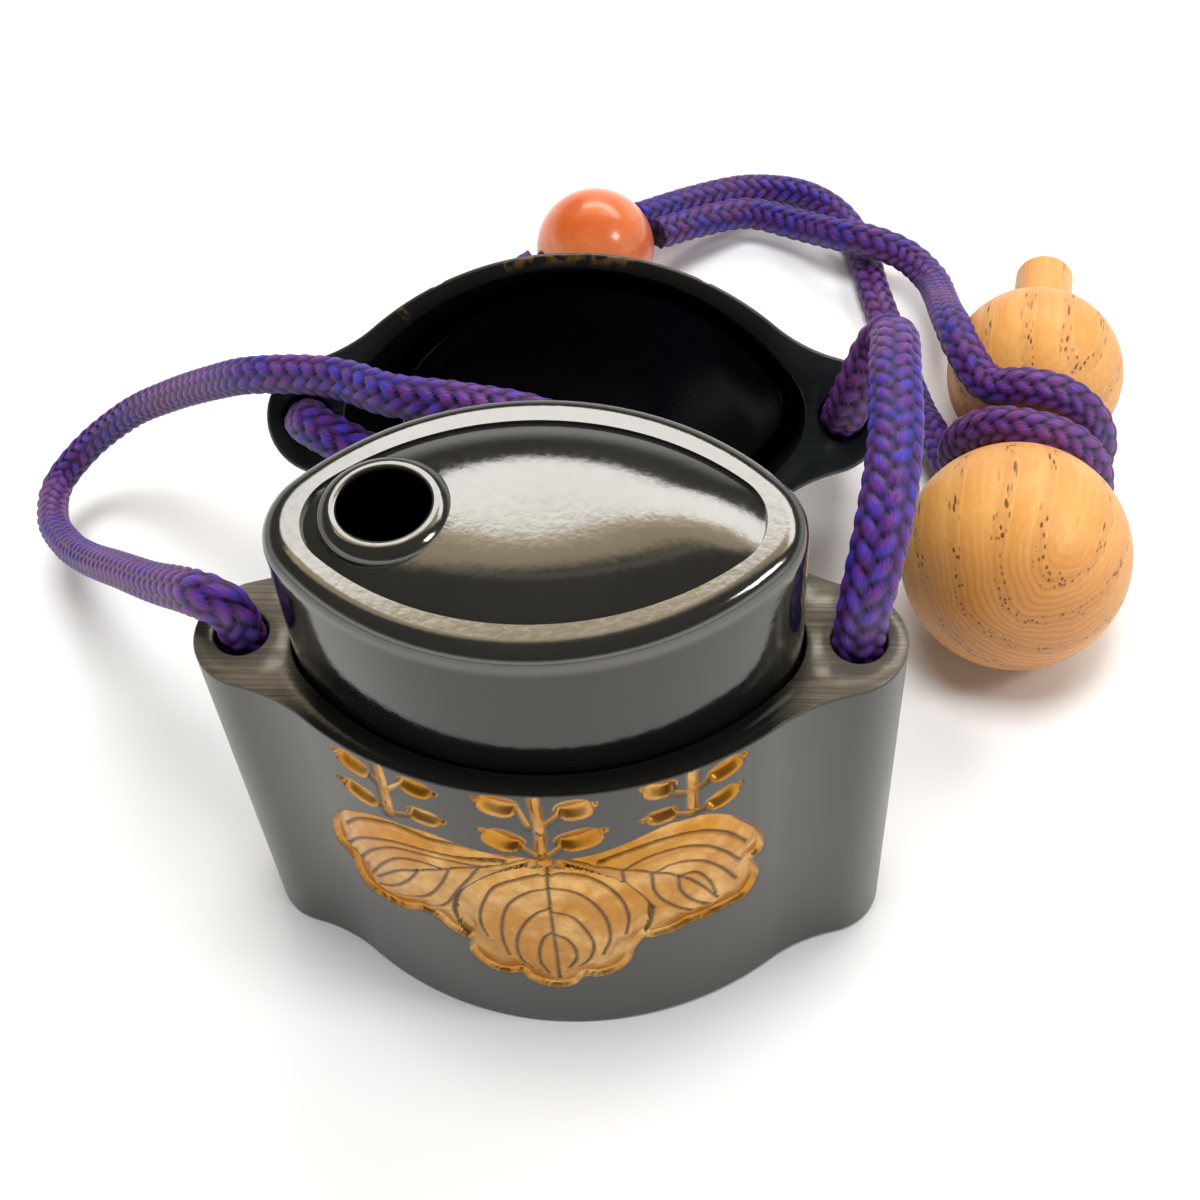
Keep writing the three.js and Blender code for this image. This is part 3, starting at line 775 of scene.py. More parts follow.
# %% Building blocks
class Shape:
    """Collects rings of points and the faces between them."""

    def __init__(self):
        self.points, self.faces, self.flat = [], [], []

    def ring(self, plan, heights):
        """Adds a ring above the plan points and gives back its point numbers."""
        start = len(self.points)
        heights = np.broadcast_to(heights, len(plan))
        self.points += [(x, y, z) for (x, y), z in zip(plan, heights)]
        return list(range(start, start + len(plan)))

    def face(self, corners, flat=False):
        self.faces.append([int(i) for i in corners])
        self.flat.append(flat)

    def join(self, low, high, flat=False):
        """A band of faces from one ring to the next one up, facing outward."""
        for i in range(len(low)):
            j = (i + 1) % len(low)
            self.face((low[i], low[j], high[j], high[i]), flat)

    def sheet(self, outer, holes, facing_up=True):
        """Fills the flat land between an outer ring and the rings of its holes."""
        rings = [outer, *holes]
        numbers = [i for ring in rings for i in ring]
        edges, start = [], 0
        for ring in rings:
            edges += [(start + k, start + (k + 1) % len(ring)) for k in range(len(ring))]
            start += len(ring)
        spots = [Vector(self.points[i][:2]) for i in numbers]
        found = geometry.delaunay_2d_cdt(spots, edges, [], 0, 1e-5)
        corners, triangles, source = np.array(found[0]), found[2], found[3]
        middles = np.array([corners[list(t)].mean(0) for t in triangles])
        lines = [np.array([self.points[i][:2] for i in ring]) for ring in rings]
        kept = inside(lines[0], middles)
        for line in lines[1:]:
            kept &= ~inside(line, middles)
        for triangle, keep in zip(triangles, kept):
            if keep:
                corners_used = [numbers[source[i][0]] for i in triangle]
                self.face(corners_used if facing_up else corners_used[::-1], flat=True)

    def piece(self, name, finish, slot, stand=None, smooth_to=80, **values):
        made = make_piece(name, self.points, self.faces, finish, stand)
        made.data.polygons.foreach_set("use_smooth", [not f for f in self.flat])
        made.data.set_sharp_from_angle(angle=math.radians(smooth_to))
        for key, numbers in values.items():
            stored = np.zeros(len(self.points))
            for index, value in numbers:
                stored[index] = value
            point_values(made, key, stored)
        return made


# %% The shell
CREST_HALF = 27.0  # the carving lies within this distance of the middle
FINE_STEP = 0.2
WIDE_STEP = 0.95


def carved_shell(bottom, top, crest_middle, crest_low, crest_place, rim, foot):
    """A shell's outer wall. rim and foot list (inset, distance from the end) of each edge row."""
    fine = np.arange(-CREST_HALF, CREST_HALF + 0.01, FINE_STEP)
    rest = case_outline.length - 2 * CREST_HALF
    wide = CREST_HALF + rest * np.arange(1, round(rest / WIDE_STEP)) / round(rest / WIDE_STEP)
    columns = np.concatenate((fine, wide))
    is_fine = np.arange(len(columns)) < len(fine)
    places = case_outline.at(columns + crest_middle)
    outward = case_outline.outward(columns + crest_middle)

    levels = [(inset, bottom + up) for inset, up in foot] + [(0, crest_low)]
    wide_rows = set(range(len(levels)))
    rim_levels = [(inset, top - down) for inset, down in rim]
    crest_top = rim_levels[0][1]
    count = round((crest_top - crest_low) / FINE_STEP)
    levels += [(0, z) for z in np.linspace(crest_low, crest_top, count + 1)[1:-1]] + rim_levels
    wide_rows |= set(range(len(levels) - len(rim), len(levels)))

    # one look at the drawing for the whole fine area
    low_row = next(row for row, (_, z) in enumerate(levels) if z >= crest_low)
    drawn = np.vstack([crest_place(fine, z) for _, z in levels[low_row:]])
    cut, cover, dark = (part.reshape(-1, len(fine)) for part in carved_crest(drawn))

    shape, gold, groove = Shape(), [], []
    numbers = np.full((len(levels), len(columns)), -1)
    for row, (inset, z) in enumerate(levels):
        used = np.arange(len(columns)) if row in wide_rows else np.flatnonzero(is_fine)
        depth = np.full(len(used), -float(inset))
        if row >= low_row:
            depth[: len(fine)] += cut[row - low_row]
        numbers[row, used] = shape.ring(places[used] + depth[:, None] * outward[used], z)
        if row >= low_row:
            carved = numbers[row, : len(fine)]
            gold += list(zip(carved, cover[row - low_row]))
            groove += list(zip(carved, dark[row - low_row]))

    wide_list = sorted(wide_rows)
    for a in range(len(columns)):
        b = (a + 1) % len(columns)
        if is_fine[a] and is_fine[b]:
            bands = list(zip(range(len(levels)), range(1, len(levels))))
        else:
            bands = list(zip(wide_list, wide_list[1:]))
        for low, high in bands:
            up = [i for i in numbers[low : high + 1, b] if i >= 0]
            down = [i for i in numbers[low : high + 1, a][::-1] if i >= 0]
            shape.face(down[-1:] + up + down[:-1], flat=high == len(levels) - 1)
    return shape, list(numbers[-1]), list(numbers[0]), gold, groove


# %% [markdown]
# ## The lower case
# It stands on its flat foot. The land at its top has a deep pocket for the flask and one round
# hole in each ear. Under the pocket the two holes bend towards each other and meet, so that the
# cord passes under the flask, out of sight.

# %% Lower case
CASE_HEIGHT = SEAM
EAR_HOLE_X = 31.1
EAR_HOLE_RADIUS = 2.75
POCKET_FLOOR = 11.5
CROSSING_HEIGHT = 4.9  # of the passage's middle above the foot
BEND_RADIUS = 8.5
HOLE_POINTS, OVAL_POINTS = 48, 160


def circle(x, radius, count=HOLE_POINTS):
    angles = 2 * math.pi * np.arange(count) / count
    return np.column_stack((x + radius * np.cos(angles), radius * np.sin(angles)))


def case_crest_place(columns, z):
    return np.column_stack((columns, np.full(len(columns), z)))


def channel_route():
    """Centres and directions of the passage from the left ear's hole round to the right one's."""
    centres = [(-EAR_HOLE_X, CASE_HEIGHT - 0.3, -math.pi / 2)]
    level = EAR_HOLE_X - BEND_RADIUS
    for sign in (-1, 1):
        for k in range(13):
            angle = math.pi / 2 * k / 12
            turn = angle if sign < 0 else math.pi / 2 - angle
            x = level + BEND_RADIUS * math.cos(turn)
            z = CROSSING_HEIGHT + BEND_RADIUS - BEND_RADIUS * math.sin(turn)
            centres.append((sign * x, z, sign * (math.pi / 2 - turn)))
    centres.append((EAR_HOLE_X, CASE_HEIGHT - 0.3, math.pi / 2))
    return centres


def make_case(finish):
    shape, rim, foot, gold, groove = carved_shell(
        0, CASE_HEIGHT, 0, 8.0, case_crest_place,
        rim=[(0, 0.56), (0, 0.36), (0, 0.16), (0.16, 0)],
        foot=[(0.5, 0), (0.15, 0.15), (0, 0.5), (0, 0.8)],
    )
    shape.face(foot[::-1], flat=True)
    around = np.arange(OVAL_POINTS) * flask_outline.length / OVAL_POINTS
    pocket_top = shape.ring(flask_outline.loop(around, -0.45), CASE_HEIGHT)
    pocket = flask_outline.loop(around, -0.3)
    pocket_rows = [shape.ring(pocket, z) for z in (CASE_HEIGHT - 0.15, POCKET_FLOOR)]
    shape.join(pocket_top, pocket_rows[0])
    shape.join(pocket_rows[0], pocket_rows[1])
    shape.face(pocket_rows[1], flat=True)
    ears = (-EAR_HOLE_X, EAR_HOLE_X)
    hole_tops = [shape.ring(circle(x, EAR_HOLE_RADIUS + 0.3), CASE_HEIGHT) for x in ears]
    turn = 2 * math.pi * np.arange(HOLE_POINTS) / HOLE_POINTS
    rings = []
    for x, z, direction in channel_route():
        # a ring square to the passage, starting on its outer side
        ahead = np.array((math.cos(direction), 0, math.sin(direction)))
        outer = np.array((ahead[2], 0, -ahead[0]))
        spots = np.array((x, 0, z)) + EAR_HOLE_RADIUS * (
            np.cos(turn)[:, None] * outer + np.sin(turn)[:, None] * np.array((0, 1, 0))
        )
        rings.append(shape.ring(spots[:, :2], spots[:, 2]))
    # the left hole's rim is counted again from its outer side, to match the passage's rings
    left_top = [hole_tops[0][(HOLE_POINTS // 2 - k) % HOLE_POINTS] for k in range(HOLE_POINTS)]
    passage = [left_top, *rings, hole_tops[1]]
    for near, far in zip(passage, passage[1:]):
        shape.join(far, near)
    shape.sheet(rim, [pocket_top, *hole_tops])
    land = [(i, 1.0) for ring in (rim, pocket_top, *hole_tops) for i in ring]
    inner = [(i, 1.0) for ring in (*pocket_rows, *rings) for i in ring]
    case = shape.piece(
        "lower_case", finish, "case_lacquer", gold=gold, groove=groove, land=land, inner=inner
    )
    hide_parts("case")
    return case


# %% [markdown]
# ## Lacquer
# Black lacquer over wood. The outside of the case is rubbed down to a soft grey sheen, the land
# shows fine straight tool marks, and inner walls stay deep black. The gold of the crest is a thin
# metal layer laid into the carving, rubbed paler and darker in patches, with shade painted dark
# brown into its grooves.


# %% Lacquer with gold
def lacquer_finish(name, wall_tone, wall_gloss, land_tone, worn_edge=False):
    lacquer = Finish(name)
    grain = lacquer.place()
    cloud = lacquer.noise(grain, 0.06, 4.0)
    specks = lacquer.noise(grain, 2.4, 2.0)
    scratches = lacquer.noise(lacquer.place((0.05, 3.4, 3.4)), 1.0, 3.0, 0.6)
    land, inner = lacquer.stored("land"), lacquer.stored("inner")
    gold, groove = lacquer.stored("gold"), lacquer.stored("groove")

    dull, pale = ([v * share for v in wall_tone] for share in (0.86, 1.1))
    wall = lacquer.mix(cloud, colour(*dull), colour(*pale))
    ears = lacquer.ramp(lacquer.math("ABSOLUTE", lacquer.split(grain)[0]), 22.0, 27.0)
    furrows = lacquer.ramp(scratches, 0.35, 0.65)
    # painted reflection: the land's tone at the ears, with real tool-mark furrows in it; on the
    # case this pale grey-brown stands for the bright window it mirrors
    brushed_reflection = lacquer.mix(furrows, colour(*[v * 0.72 for v in land_tone]), colour(*land_tone))
    top = lacquer.mix(ears, colour(52, 52, 50), brushed_reflection)
    black = lacquer.mix(lacquer.plus(land, inner), wall, top)
    black = lacquer.mix(inner, black, colour(14, 16, 18))
    if worn_edge:
        patches = lacquer.ramp(lacquer.noise(grain, 0.7, 3.0), 0.44, 0.56)
        worn = lacquer.times(patches, lacquer.stored("edge"))
        black = lacquer.mix(worn, black, colour(150, 120, 70))

    patch = lacquer.ramp(lacquer.noise(grain, 0.13, 3.0, 0.55, 0.4), 0.42, 0.6)
    rubbed = lacquer.ramp(lacquer.noise(grain, 0.5, 4.0, 0.6), 0.38, 0.66)
    gilt = lacquer.mix(patch, colour(196, 138, 46), colour(222, 178, 108))
    gilt = lacquer.mix(rubbed, lacquer.mix(0.5, gilt, colour(176, 108, 30)), gilt)
    # painted shade: the gold turns dark brown in the grooves and creases
    gilt = lacquer.mix(lacquer.times(groove, 0.85), gilt, colour(58, 34, 14))
    lacquer.set("Base Color", lacquer.mix(gold, black, gilt))

    sheen = lacquer.ramp(cloud, 0.3, 0.7, wall_gloss - 0.03, wall_gloss + 0.04)
    rubbed_land = lacquer.ramp(ears, 0.0, 1.0, 0.12 - wall_gloss, 0.02)
    for cover, change in ((inner, 0.14 - wall_gloss), (land, rubbed_land), (gold, 0.02)):
        sheen = lacquer.plus(sheen, lacquer.times(cover, change))
    lacquer.set("Roughness", sheen)
    mirror = lacquer.times(land, lacquer.ramp(ears, 0.0, 1.0, 0.8, 0.35))
    lacquer.set("Metallic", lacquer.math("MAXIMUM", lacquer.times(gold, 0.85), mirror))
    marks = lacquer.plus(specks, lacquer.times(scratches, lacquer.times(land, 2.0)))
    lacquer.bump(marks, 0.02, 0.35)
    return lacquer.material


# the last tone is the case land's colour at the ears, a painted reflection of the bright window
case_lacquer = lacquer_finish("case_lacquer", (52, 51, 45), 0.3, (122, 114, 100))
lower_case = make_case(case_lacquer)

# %% [markdown]
# ## The lid
# The lid is the same shell turned over. It lies tipped back with its open end towards the viewer,
# so its own frame is stated once and every point is written as if it stood open end up. The crest
# runs on over the seam, so the same drawing is used with heights counted from the seam.

# %% Lid
LID_HEIGHT = 39.1
LID_TOP_THICKNESS = 2.8
LID_PLACE = (
    Matrix.Translation(Vector((-0.2, 37.7, 41.0)) * MM)
    @ Matrix.Rotation(math.radians(1.8), 4, "Z")
    @ Matrix.Rotation(math.radians(44.9), 4, "X")
    @ Matrix.Rotation(math.radians(-1.0), 4, "Z")
)
WORN = [(-23.5, -19.5), (-8.0, 7.0)]  # stretches of the rim where the lacquer is rubbed through


def lid_crest_place(columns, z):
    return np.column_stack((-columns, np.full(len(columns), CASE_HEIGHT - z)))


def make_lid(finish):
    shape, rim, foot, gold, groove = carved_shell(
        -LID_HEIGHT, 0, case_outline.length / 2, -25.0, lid_crest_place,
        rim=[(0, 0.9), (0, 0.7), (0, 0.45), (0.13, 0.13), (0.45, 0)],
        foot=[(1.0, 0), (0.3, 0.3), (0, 1.0), (0, 1.3)],
    )
    hollow = pointed_oval(26.7, 16.9, 7.0)
    around = np.arange(OVAL_POINTS) * hollow.length / OVAL_POINTS
    floor = LID_TOP_THICKNESS - LID_HEIGHT
    rows = [(-0.3, 0), (0, -0.3), (0, floor + 1.5), (0.45, floor + 0.45), (1.5, floor)]
    hollow_rings = [shape.ring(hollow.loop(around, inset), z) for inset, z in rows]
    for near, far in zip(hollow_rings, hollow_rings[1:]):
        shape.join(near, far)
    shape.face(hollow_rings[-1], flat=True)
    holes = []
    for x in (-EAR_HOLE_X, EAR_HOLE_X):
        depths = [(0.35, 0), (0, -0.35), (0, 0.35 - LID_HEIGHT), (0.35, -LID_HEIGHT)]
        rings = [shape.ring(circle(x, EAR_HOLE_RADIUS + wider), z) for wider, z in depths]
        for near, far in zip(rings, rings[1:]):
            shape.join(near, far)
        holes.append(rings)
    shape.sheet(rim, [hollow_rings[0]] + [rings[0] for rings in holes])
    shape.sheet(foot, [rings[-1] for rings in holes], facing_up=False)
    land = [(i, 1.0) for ring in (rim, hollow_rings[0], holes[0][0], holes[1][0]) for i in ring]
    inner_rings = [*hollow_rings[1:], *holes[0][1:3], *holes[1][1:3]]
    inner = [(i, 1.0) for ring in inner_rings for i in ring]
    edge = []
    for i in rim:
        x, y, _ = shape.points[i]
        if y > 12 and any(low < x < high for low, high in WORN):
            edge.append((i, 1.0))
    lid = shape.piece(
        "lid_shell", finish, "lid_lacquer", LID_PLACE,
        gold=gold, groove=groove, land=land, inner=inner, edge=edge,
    )
    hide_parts("lid")
    return lid


lid_lacquer = lacquer_finish("lid_lacquer", (52, 51, 46), 0.26, (34, 40, 42), worn_edge=True)
lid_shell = make_lid(lid_lacquer)

# %% [markdown]
# ## The flask
# A thin-walled flask with a rounded shoulder, a flat ring, and a low cushion inside the ring. A
# short round mouth stands at its left end. The whole skin, outside and inside, is one chain of
# rings with the same number of points. From the mouth the rings spread like ripples until they
# reach the cushion's edge, so no boolean cut disturbs the mirror of the lacquer.

# %% Flask sizes
FLASK_BASE, FLASK_RIM = 11.8, 68.2
CUSHION_FOOT, CUSHION_RISE = 67.85, 1.8
MOUTH = np.array((-13.6, 0.0))
SHOULDER = 2.0
WALL = 1.6
FLASK_AROUND = 240
flask_spots = np.arange(FLASK_AROUND) * flask_outline.length / FLASK_AROUND
cushion_outline = pointed_oval(21.65, 12.15, 6.2)
cushion_edge = cushion_outline.ring[:-1:8]


def cushion_height(plan):
    """Height of the cushion: flat in the middle and falling towards its edge."""
    bearing = np.arctan2(cushion_edge[:, 1], cushion_edge[:, 0])
    order = np.argsort(bearing)
    reach = np.linalg.norm(cushion_edge, axis=1)[order]
    wanted = np.arctan2(plan[:, 1], plan[:, 0])
    edge_reach = np.interp(wanted, bearing[order], reach, period=2 * math.pi)
    share = np.linalg.norm(plan, axis=1) / edge_reach
    return CUSHION_FOOT + CUSHION_RISE * (1 - np.clip(share, 0, 1) ** 4)


# %% [markdown]
# The mouth is a turned collar. Its rings are not level: each starts where the cushion meets the
# collar, which is higher on the side towards the cushion's middle.

# %% The mouth
COLLAR = np.array([  # radius and height from the foot up to the middle of the lip
    (6.5, 66.5), (6.5, 68.8), (6.46, 69.1), (6.34, 69.4), (6.12, 69.7), (5.85, 69.92), (5.6, 70.07),
    (5.35, 70.17), (5.2, 70.2), (4.65, 70.2),
])


def collar_rings(ways, steps=16):
    """Rings from where the cushion meets the collar up to the lip, one point for each way."""
    along = distance_along(COLLAR)
    fine = np.linspace(0, along[-1], 400)
    radius, height = (np.interp(fine, along, COLLAR[:, k]) for k in range(2))
    starts = []
    for way in ways:
        clear = height >= cushion_height(MOUTH + radius[:, None] * way)
        starts.append(fine[np.argmax(clear)])
    rings = []
    for step in range(steps + 1):
        at = np.array(starts) + (along[-1] - np.array(starts)) * step / steps
        radius_here, height_here = (np.interp(at, along, COLLAR[:, k]) for k in range(2))
        rings.append((MOUTH + radius_here[:, None] * ways, height_here))
    return rings


# %% [markdown]
# The chain of rings runs up the outside, over the shoulder and the flat ring, across the cushion
# to the mouth, down into it, and back along the inside of the wall to the inner floor.

# %% Flask
def make_flask(finish):
    shape = Shape()
    rows = [(0.4, FLASK_BASE), (0, FLASK_BASE + 0.4), (0, FLASK_BASE + 1), (0, FLASK_RIM - 3)]
    for k in range(10):
        angle = math.pi / 2 * k / 9
        inset, drop = SHOULDER * (1 - math.cos(angle)), SHOULDER * (1 - math.sin(angle))
        rows.append((inset, FLASK_RIM - drop))
    rows.append((2.15, FLASK_RIM))
    chain = [(flask_outline.loop(flask_spots, inset), z) for inset, z in rows]
    cushion_spots = flask_spots * cushion_outline.length / flask_outline.length
    edge = cushion_outline.at(cushion_spots)
    chain.append((cushion_outline.loop(cushion_spots, -0.1), FLASK_RIM))
    ways = edge - MOUTH
    ways /= np.linalg.norm(ways, axis=1)[:, None]
    collar = collar_rings(ways)
    foot = collar[0][0]
    for share in np.linspace(0, 1, 56)[:-1]:
        plan = edge + (foot - edge) * share
        chain.append((plan, cushion_height(plan)))
    chain += collar
    for radius, z in ((4.53, 70.14), (4.47, 69.98), (4.45, 69.7), (4.45, 66.4)):
        chain.append((MOUTH + radius * ways, z))
    for inset, z in ((WALL, 66.2), (WALL, FLASK_BASE + WALL + 1), (WALL + 1, FLASK_BASE + WALL)):
        chain.append((flask_outline.loop(flask_spots, inset), z))
    rings = [shape.ring(plan, z) for plan, z in chain]
    for ring, following in zip(rings, rings[1:]):
        shape.join(ring, following)
    shape.face(rings[0][::-1], flat=True)
    shape.face(rings[-1], flat=True)
    inner = [(i, 1.0) for ring in rings[-5:] for i in ring]
    side = [(i, 1.0) for ring in rings[:4] for i in ring]
    flask = shape.piece("flask_body", finish, "flask_lacquer", smooth_to=42, inner=inner, side=side)
    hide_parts("flask")
    return flask


# %% [markdown]
# Its lacquer is polished like a mirror, with a fine pebbly grain from the spray or the brush.


# %% Mirror lacquer
def mirror_lacquer():
    lacquer = Finish("flask_lacquer")
    where = lacquer.place()
    cloud = lacquer.noise(where, 0.08, 3.0)
    body = lacquer.mix(cloud, colour(96, 95, 92), colour(106, 104, 100))
    # painted shade: the upright side wall is a darker copy of the same lacquer, so it mirrors the
    # floor more dimly
    body = lacquer.mix(lacquer.stored("side"), body, colour(72, 72, 70))
    lacquer.set("Base Color", lacquer.mix(lacquer.stored("inner"), body, colour(4, 4, 5)))
    grain = lacquer.noise(where, 1.3, 3.0)
    lacquer.set("Roughness", lacquer.ramp(grain, 0.35, 0.65, 0.08, 0.13))
    lacquer.set("Metallic", lacquer.ramp(cloud, 0.3, 0.7, 0.86, 0.92))
    lacquer.bump(grain, 0.02, 0.5)
    return lacquer.material


flask_body = make_flask(mirror_lacquer())

# %% [markdown]
# ## Turned pieces
# The bead and the gourd are turned on a lathe, so their skins are one profile swept round an
# axis. Each is written upright in its own frame and then laid along its axis.


# %% Turning
def upright_along(centre, axis):
    """The frame at a centre whose own upright runs along the axis."""
    turn = Vector(axis).to_track_quat("Z", "Y").to_matrix().to_4x4()
    return Matrix.Translation(Vector(centre) * MM) @ turn


def ball_profile(radius, start, end, count, middle=0.0):
    """Part of a circle round the axis, as (radius, height)."""
    angles = np.linspace(start, end, count)
    return [(radius * math.cos(a), middle + radius * math.sin(a)) for a in angles]


def turned(profile, around, closed=False):
    shape = Shape()
    rings = [shape.ring(circle(0, radius, around), z) for radius, z in profile]
    for ring, following in zip(rings, rings[1:] + rings[:1] if closed else rings[1:]):
        shape.join(ring, following)
    if not closed:
        shape.face(rings[0][::-1])
        shape.face(rings[-1])
    return shape


# %% [markdown]
# The bead is a bored ball of coral or coral-coloured stone. It slides on the cord to hold the
# case shut. Light soaks a little way into coral, so the finish scatters some light under its
# skin, below a polished coat.

# %% Bead
BEAD_RADIUS = 8.8
BEAD_BORE = 2.6


def make_bead(finish):
    low = math.acos((BEAD_BORE + 0.3) / BEAD_RADIUS)
    profile = ball_profile(BEAD_RADIUS, -low, low, 49)
    profile += [(BEAD_BORE, profile[-1][1] - 0.25), (BEAD_BORE, 0.25 - profile[-1][1])]
    shape = turned(profile, 96, closed=True)
    stand = upright_along((-2.85, 101.6, BEAD_RADIUS), (0.83, 0.56, 0))
    bead = shape.piece("coral_bead", finish, "coral", stand, smooth_to=50)
    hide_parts("bead")
    return bead


def coral_finish():
    coral = Finish(
        "coral", Coat_Weight=0.5, Coat_Roughness=0.08, IOR=1.5, Subsurface_Weight=0.15,
        Subsurface_Radius=(1.0, 0.35, 0.15), Subsurface_Scale=2.5 * MM,
    )
    where = coral.place()
    blush = coral.noise(where, 0.13, 3.0, 0.5, 0.5)
    tone = coral.mix(coral.ramp(blush, 0.38, 0.64), colour(206, 96, 42), colour(224, 124, 72))
    coral.set("Base Color", tone)
    coral.set("Roughness", coral.ramp(coral.noise(where, 1.5, 2.0), 0.3, 0.7, 0.26, 0.36))
    return coral.material


coral_bead = make_bead(coral_finish())

# %% [markdown]
# The toggle is turned as a gourd: a big bulb, a small bulb and a short stem. The waist between
# the bulbs is where the cord is wound. The stem grows out of the small bulb in a quick curve.

# %% Gourd
BELLY_RADIUS, HEAD_RADIUS, NECK_RADIUS = 14.3, 11.8, 6.0
STEM_RADIUS, STEM_FOOT, STEM_END = 4.0, 5.6, 56.2


def make_gourd(finish):
    between = float(np.linalg.norm(GOURD_HEAD - GOURD_BELLY))
    belly_top = math.acos(NECK_RADIUS / BELLY_RADIUS)
    head_foot, head_top = -math.acos(NECK_RADIUS / HEAD_RADIUS), math.acos(STEM_FOOT / HEAD_RADIUS)
    profile = ball_profile(BELLY_RADIUS, -1.565, belly_top, 60)
    profile += ball_profile(HEAD_RADIUS, head_foot, head_top, 44, between)
    shoulder = profile[-1]
    ease_in = np.linspace(0, 1, 9)[1:]
    flare = shoulder[0] - STEM_RADIUS
    profile += [(STEM_RADIUS + flare * (1 - t) ** 2.2, shoulder[1] + 2.6 * t) for t in ease_in]
    for t in np.linspace(0, math.pi / 2, 9):
        profile.append((STEM_RADIUS - 1.5 + 1.5 * math.cos(t), STEM_END - 1.3 + 1.3 * math.sin(t)))
    profile.append((0.2, STEM_END + 0.05))
    shape = turned(profile, 128)
    stand = upright_along(GOURD_BELLY, gourd_axis)
    gourd = shape.piece("gourd", finish, "boxwood", stand, smooth_to=50)
    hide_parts("gourd_toggle")
    return gourd


# %% [markdown]
# The gourd is cut from ring-porous wood. Its growth rings are sleeves round a line that runs
# beside the gourd's own axis. Each ring has a belt of open pores: they are dots where the surface
# cuts across the grain, on the end of the belly, and long streaks where it runs along it.


# %% Wood
PITH_OFFSET = (6.0, -12.0, 0.0)
RING_WIDTH = 5.0
FIRST_RING = 2.0


def wood_finish():
    wood = Finish("boxwood", Coat_Weight=0.12, Coat_Roughness=0.35)
    where = wood.place()
    off_pith = wood.node("VectorMath", {"operation": "ADD"}, i0=where, i1=PITH_OFFSET)
    flat = wood.node("VectorMath", {"operation": "MULTIPLY"}, i0=off_pith.outputs[0], i1=(1, 1, 0))
    wander = wood.noise(wood.place((1, 1, 0.15)), 0.12, 2.0)
    out = wood.node("VectorMath", {"operation": "LENGTH"}, i0=flat.outputs[0]).outputs["Value"]
    out = wood.plus(out, wood.ramp(wander, 0.3, 0.7, -0.8, 0.8))
    turn = wood.math("FRACT", wood.math("DIVIDE", wood.plus(out, FIRST_RING), RING_WIDTH))
    belt = wood.times(wood.ramp(turn, 0.0, 0.06), wood.ramp(turn, 0.4, 0.24))
    late = wood.ramp(turn, 0.25, 1.0)

    pores = wood.node("TexVoronoi", Vector=wood.place((1, 1, 0.13)), Scale=1.7, Randomness=1.0)
    pore = wood.ramp(pores.outputs["Distance"], 0.38, 0.24)
    chance = wood.ramp(wood.noise(wood.place((1, 1, 0.3)), 0.5, 2.0), 0.36, 0.48)
    pore = wood.times(wood.times(pore, belt), chance)
    fibre = wood.noise(wood.place((1, 1, 0.06)), 1.6, 4.0, 0.65)
    cloud = wood.noise(where, 0.05, 3.0)

    tone = wood.mix(late, colour(236, 178, 104), colour(224, 158, 82))
    tone = wood.mix(wood.ramp(fibre, 0.35, 0.7, 0.0, 0.45), tone, colour(206, 134, 62))
    tone = wood.mix(wood.ramp(cloud, 0.45, 0.7, 0.0, 0.5), tone, colour(212, 144, 74))
    tone = wood.mix(wood.times(belt, 0.3), tone, colour(176, 108, 46))
    # the belly goes darker towards its far end, in fine lines that follow the rings
    end = wood.ramp(wood.split(where)[2], -5.0, -12.5)
    lines = wood.ramp(wood.math("SINE", wood.times(out, 7.0)), -0.6, 1.0, 0.4, 0.7)
    tone = wood.mix(wood.times(end, lines), tone, colour(172, 106, 46))
    tone = wood.mix(wood.times(pore, 0.85), tone, colour(92, 50, 20))
    wood.set("Base Color", tone)
    wood.set("Roughness", wood.ramp(fibre, 0.3, 0.7, 0.42, 0.54))
    wood.bump(wood.math("SUBTRACT", wood.times(fibre, 0.3), pore), 0.08, 0.5)
    return wood.material


gourd = make_gourd(wood_finish())

# %% [markdown]
# ## Floor and light
# A plain pale floor, a soft overhead light and a bright wall-like glow behind the object. Glossy
# lacquer shows its surroundings more than its own colour, so the sky is built with care: a warm
# dim upper part, a bright band behind, and a pale horizon.

# %% Floor
FLOOR_HALF = 6000


def make_floor():
    paper = Finish("floor_paper", Roughness=0.9, Specular_IOR_Level=0.1)
    cloud = paper.noise(paper.place(), 0.004, 2.0)
    paper.set("Base Color", paper.mix(cloud, colour(243, 243, 243), colour(247, 247, 247)))
    mesh = bpy.data.meshes.new("floor")
    far = FLOOR_HALF * MM
    corners = [(-far, -far, 0), (far, -far, 0), (far, far, 0), (-far, far, 0)]
    mesh.from_pydata(corners, [], [(0, 1, 2, 3)])
    mesh.materials.append(paper.material)
    floor = bpy.data.objects.new("floor", mesh)
    bpy.context.scene.collection.objects.link(floor)
    return floor


floor = make_floor()

# %% [markdown]
# The sky is a stack of bands. Each band covers part of the one before it, by how far up, how far
# back and how far to the right a direction points.

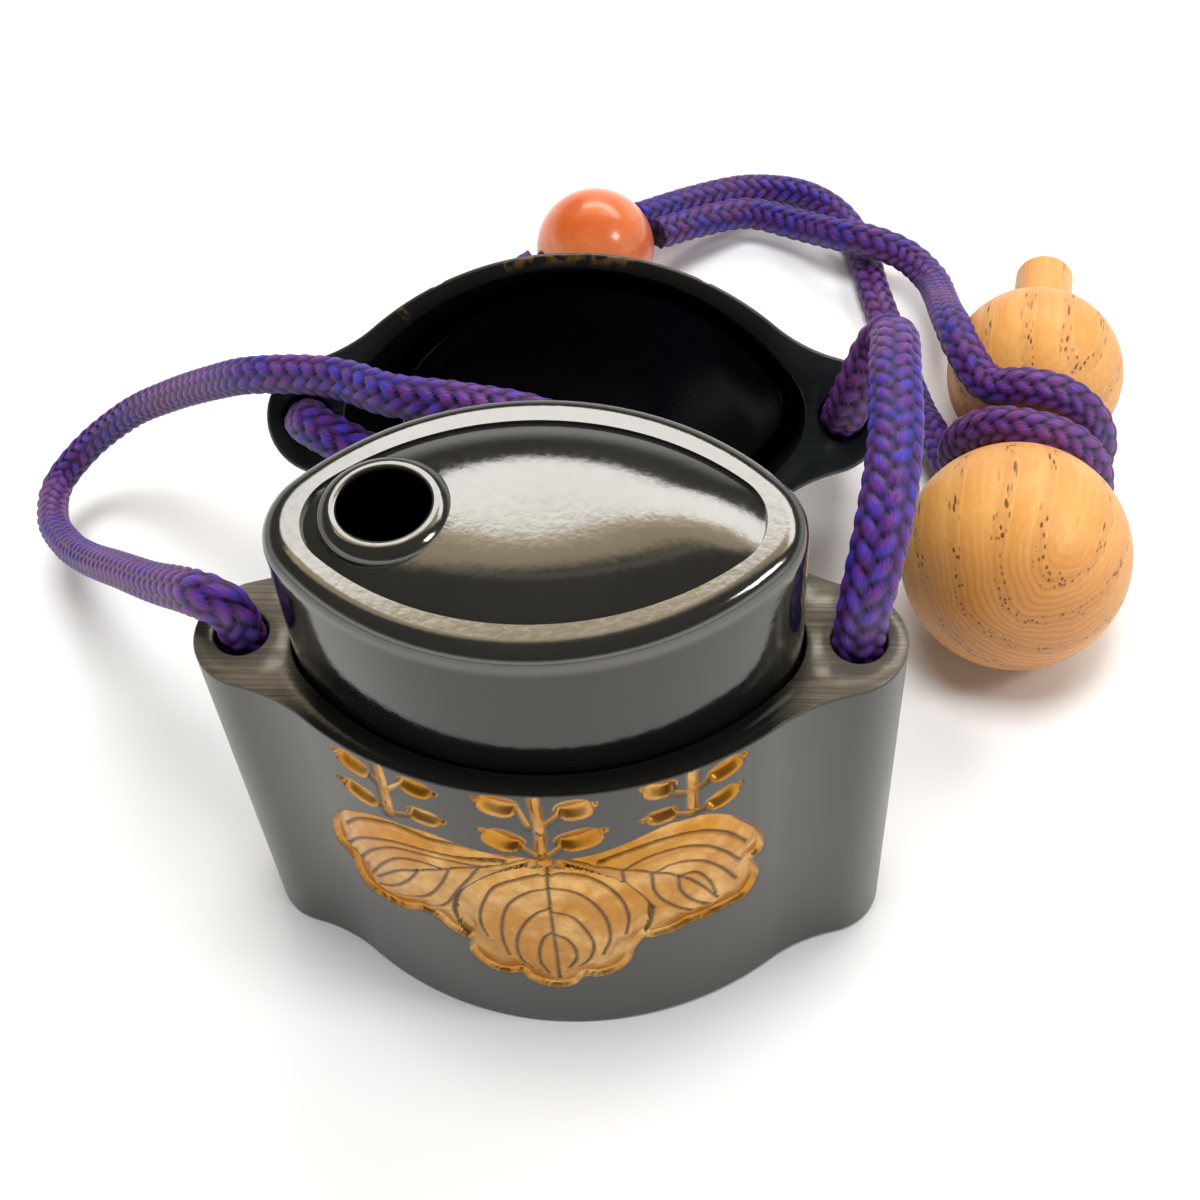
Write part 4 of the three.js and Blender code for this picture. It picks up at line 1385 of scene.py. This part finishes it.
# %% Sky
HORIZON = (0.95, 0.95, 0.95, 1.0)
FRONT_WALL = (1.4, 1.38, 1.35, 1.0)
DARK = (0.09, 0.08, 0.07, 1.0)
WINDOW = (6.0, 6.0, 6.0, 1.0)
GLOW, DIM_GLOW = (2.6, 2.1, 1.35, 1.0), (1.7, 1.45, 1.0, 1.0)
CEILING = (0.2, 0.17, 0.13, 1.0)


def make_sky():
    world = bpy.data.worlds.new("studio")
    world.use_nodes = True
    bpy.context.scene.world = world
    sky = Nodes(world.node_tree)
    right, back, up = sky.split(sky.node("TexCoord").outputs["Generated"])
    room = sky.mix(sky.smooth(back, 0.0, -0.3), HORIZON, FRONT_WALL)
    room = sky.mix(sky.smooth(up, 0.12, 0.42), room, DARK)
    sides = sky.times(sky.smooth(right, -0.34, -0.22), sky.smooth(right, 0.75, 0.55))
    behind = sky.times(sky.smooth(back, 0.3, 0.45), sides)
    room = sky.mix(sky.times(behind, sky.smooth(up, 0.6, 0.66)), room, WINDOW)
    lamp = sky.mix(sky.smooth(up, 0.795, 0.825), GLOW, DIM_GLOW)
    above = sky.mix(sky.smooth(up, 0.86, 0.92), lamp, CEILING)
    covers = sky.times(sky.smooth(up, 0.775, 0.79), sky.smooth(back, 0.2, 0.4))
    background = sky.tree.nodes["Background"]
    sky.feed(background.inputs["Color"], sky.mix(covers, room, above))
    background.inputs["Strength"].default_value = 1.0


make_sky()

# %% [markdown]
# Two soft lamps: a wide one overhead that draws the shadows on the floor, kept out of the
# lacquer's reflections, and a small one to the right that leaves a bright spot on the bead.

# %% Lamps
def area_light(name, place, target, size, power, mirrored):
    lamp = bpy.data.lights.new(name, "AREA")
    lamp.shape = "RECTANGLE"
    lamp.size, lamp.size_y = size[0] * MM, size[1] * MM
    lamp.energy = power
    holder = bpy.data.objects.new(name, lamp)
    start = Vector(place) * MM
    facing = (Vector(target) * MM - start).to_track_quat("-Z", "Y")
    holder.matrix_world = Matrix.Translation(start) @ facing.to_matrix().to_4x4()
    holder.visible_glossy = mirrored
    bpy.context.scene.collection.objects.link(holder)


area_light("key_light", (0, 20, 900), (0, 20, 0), (350, 350), 6.3, False)
area_light("lamp_right", (470, -65, 505), (20, 40, 20), (150, 150), 1.0, True)
bpy.context.scene.view_settings.view_transform = "Standard"
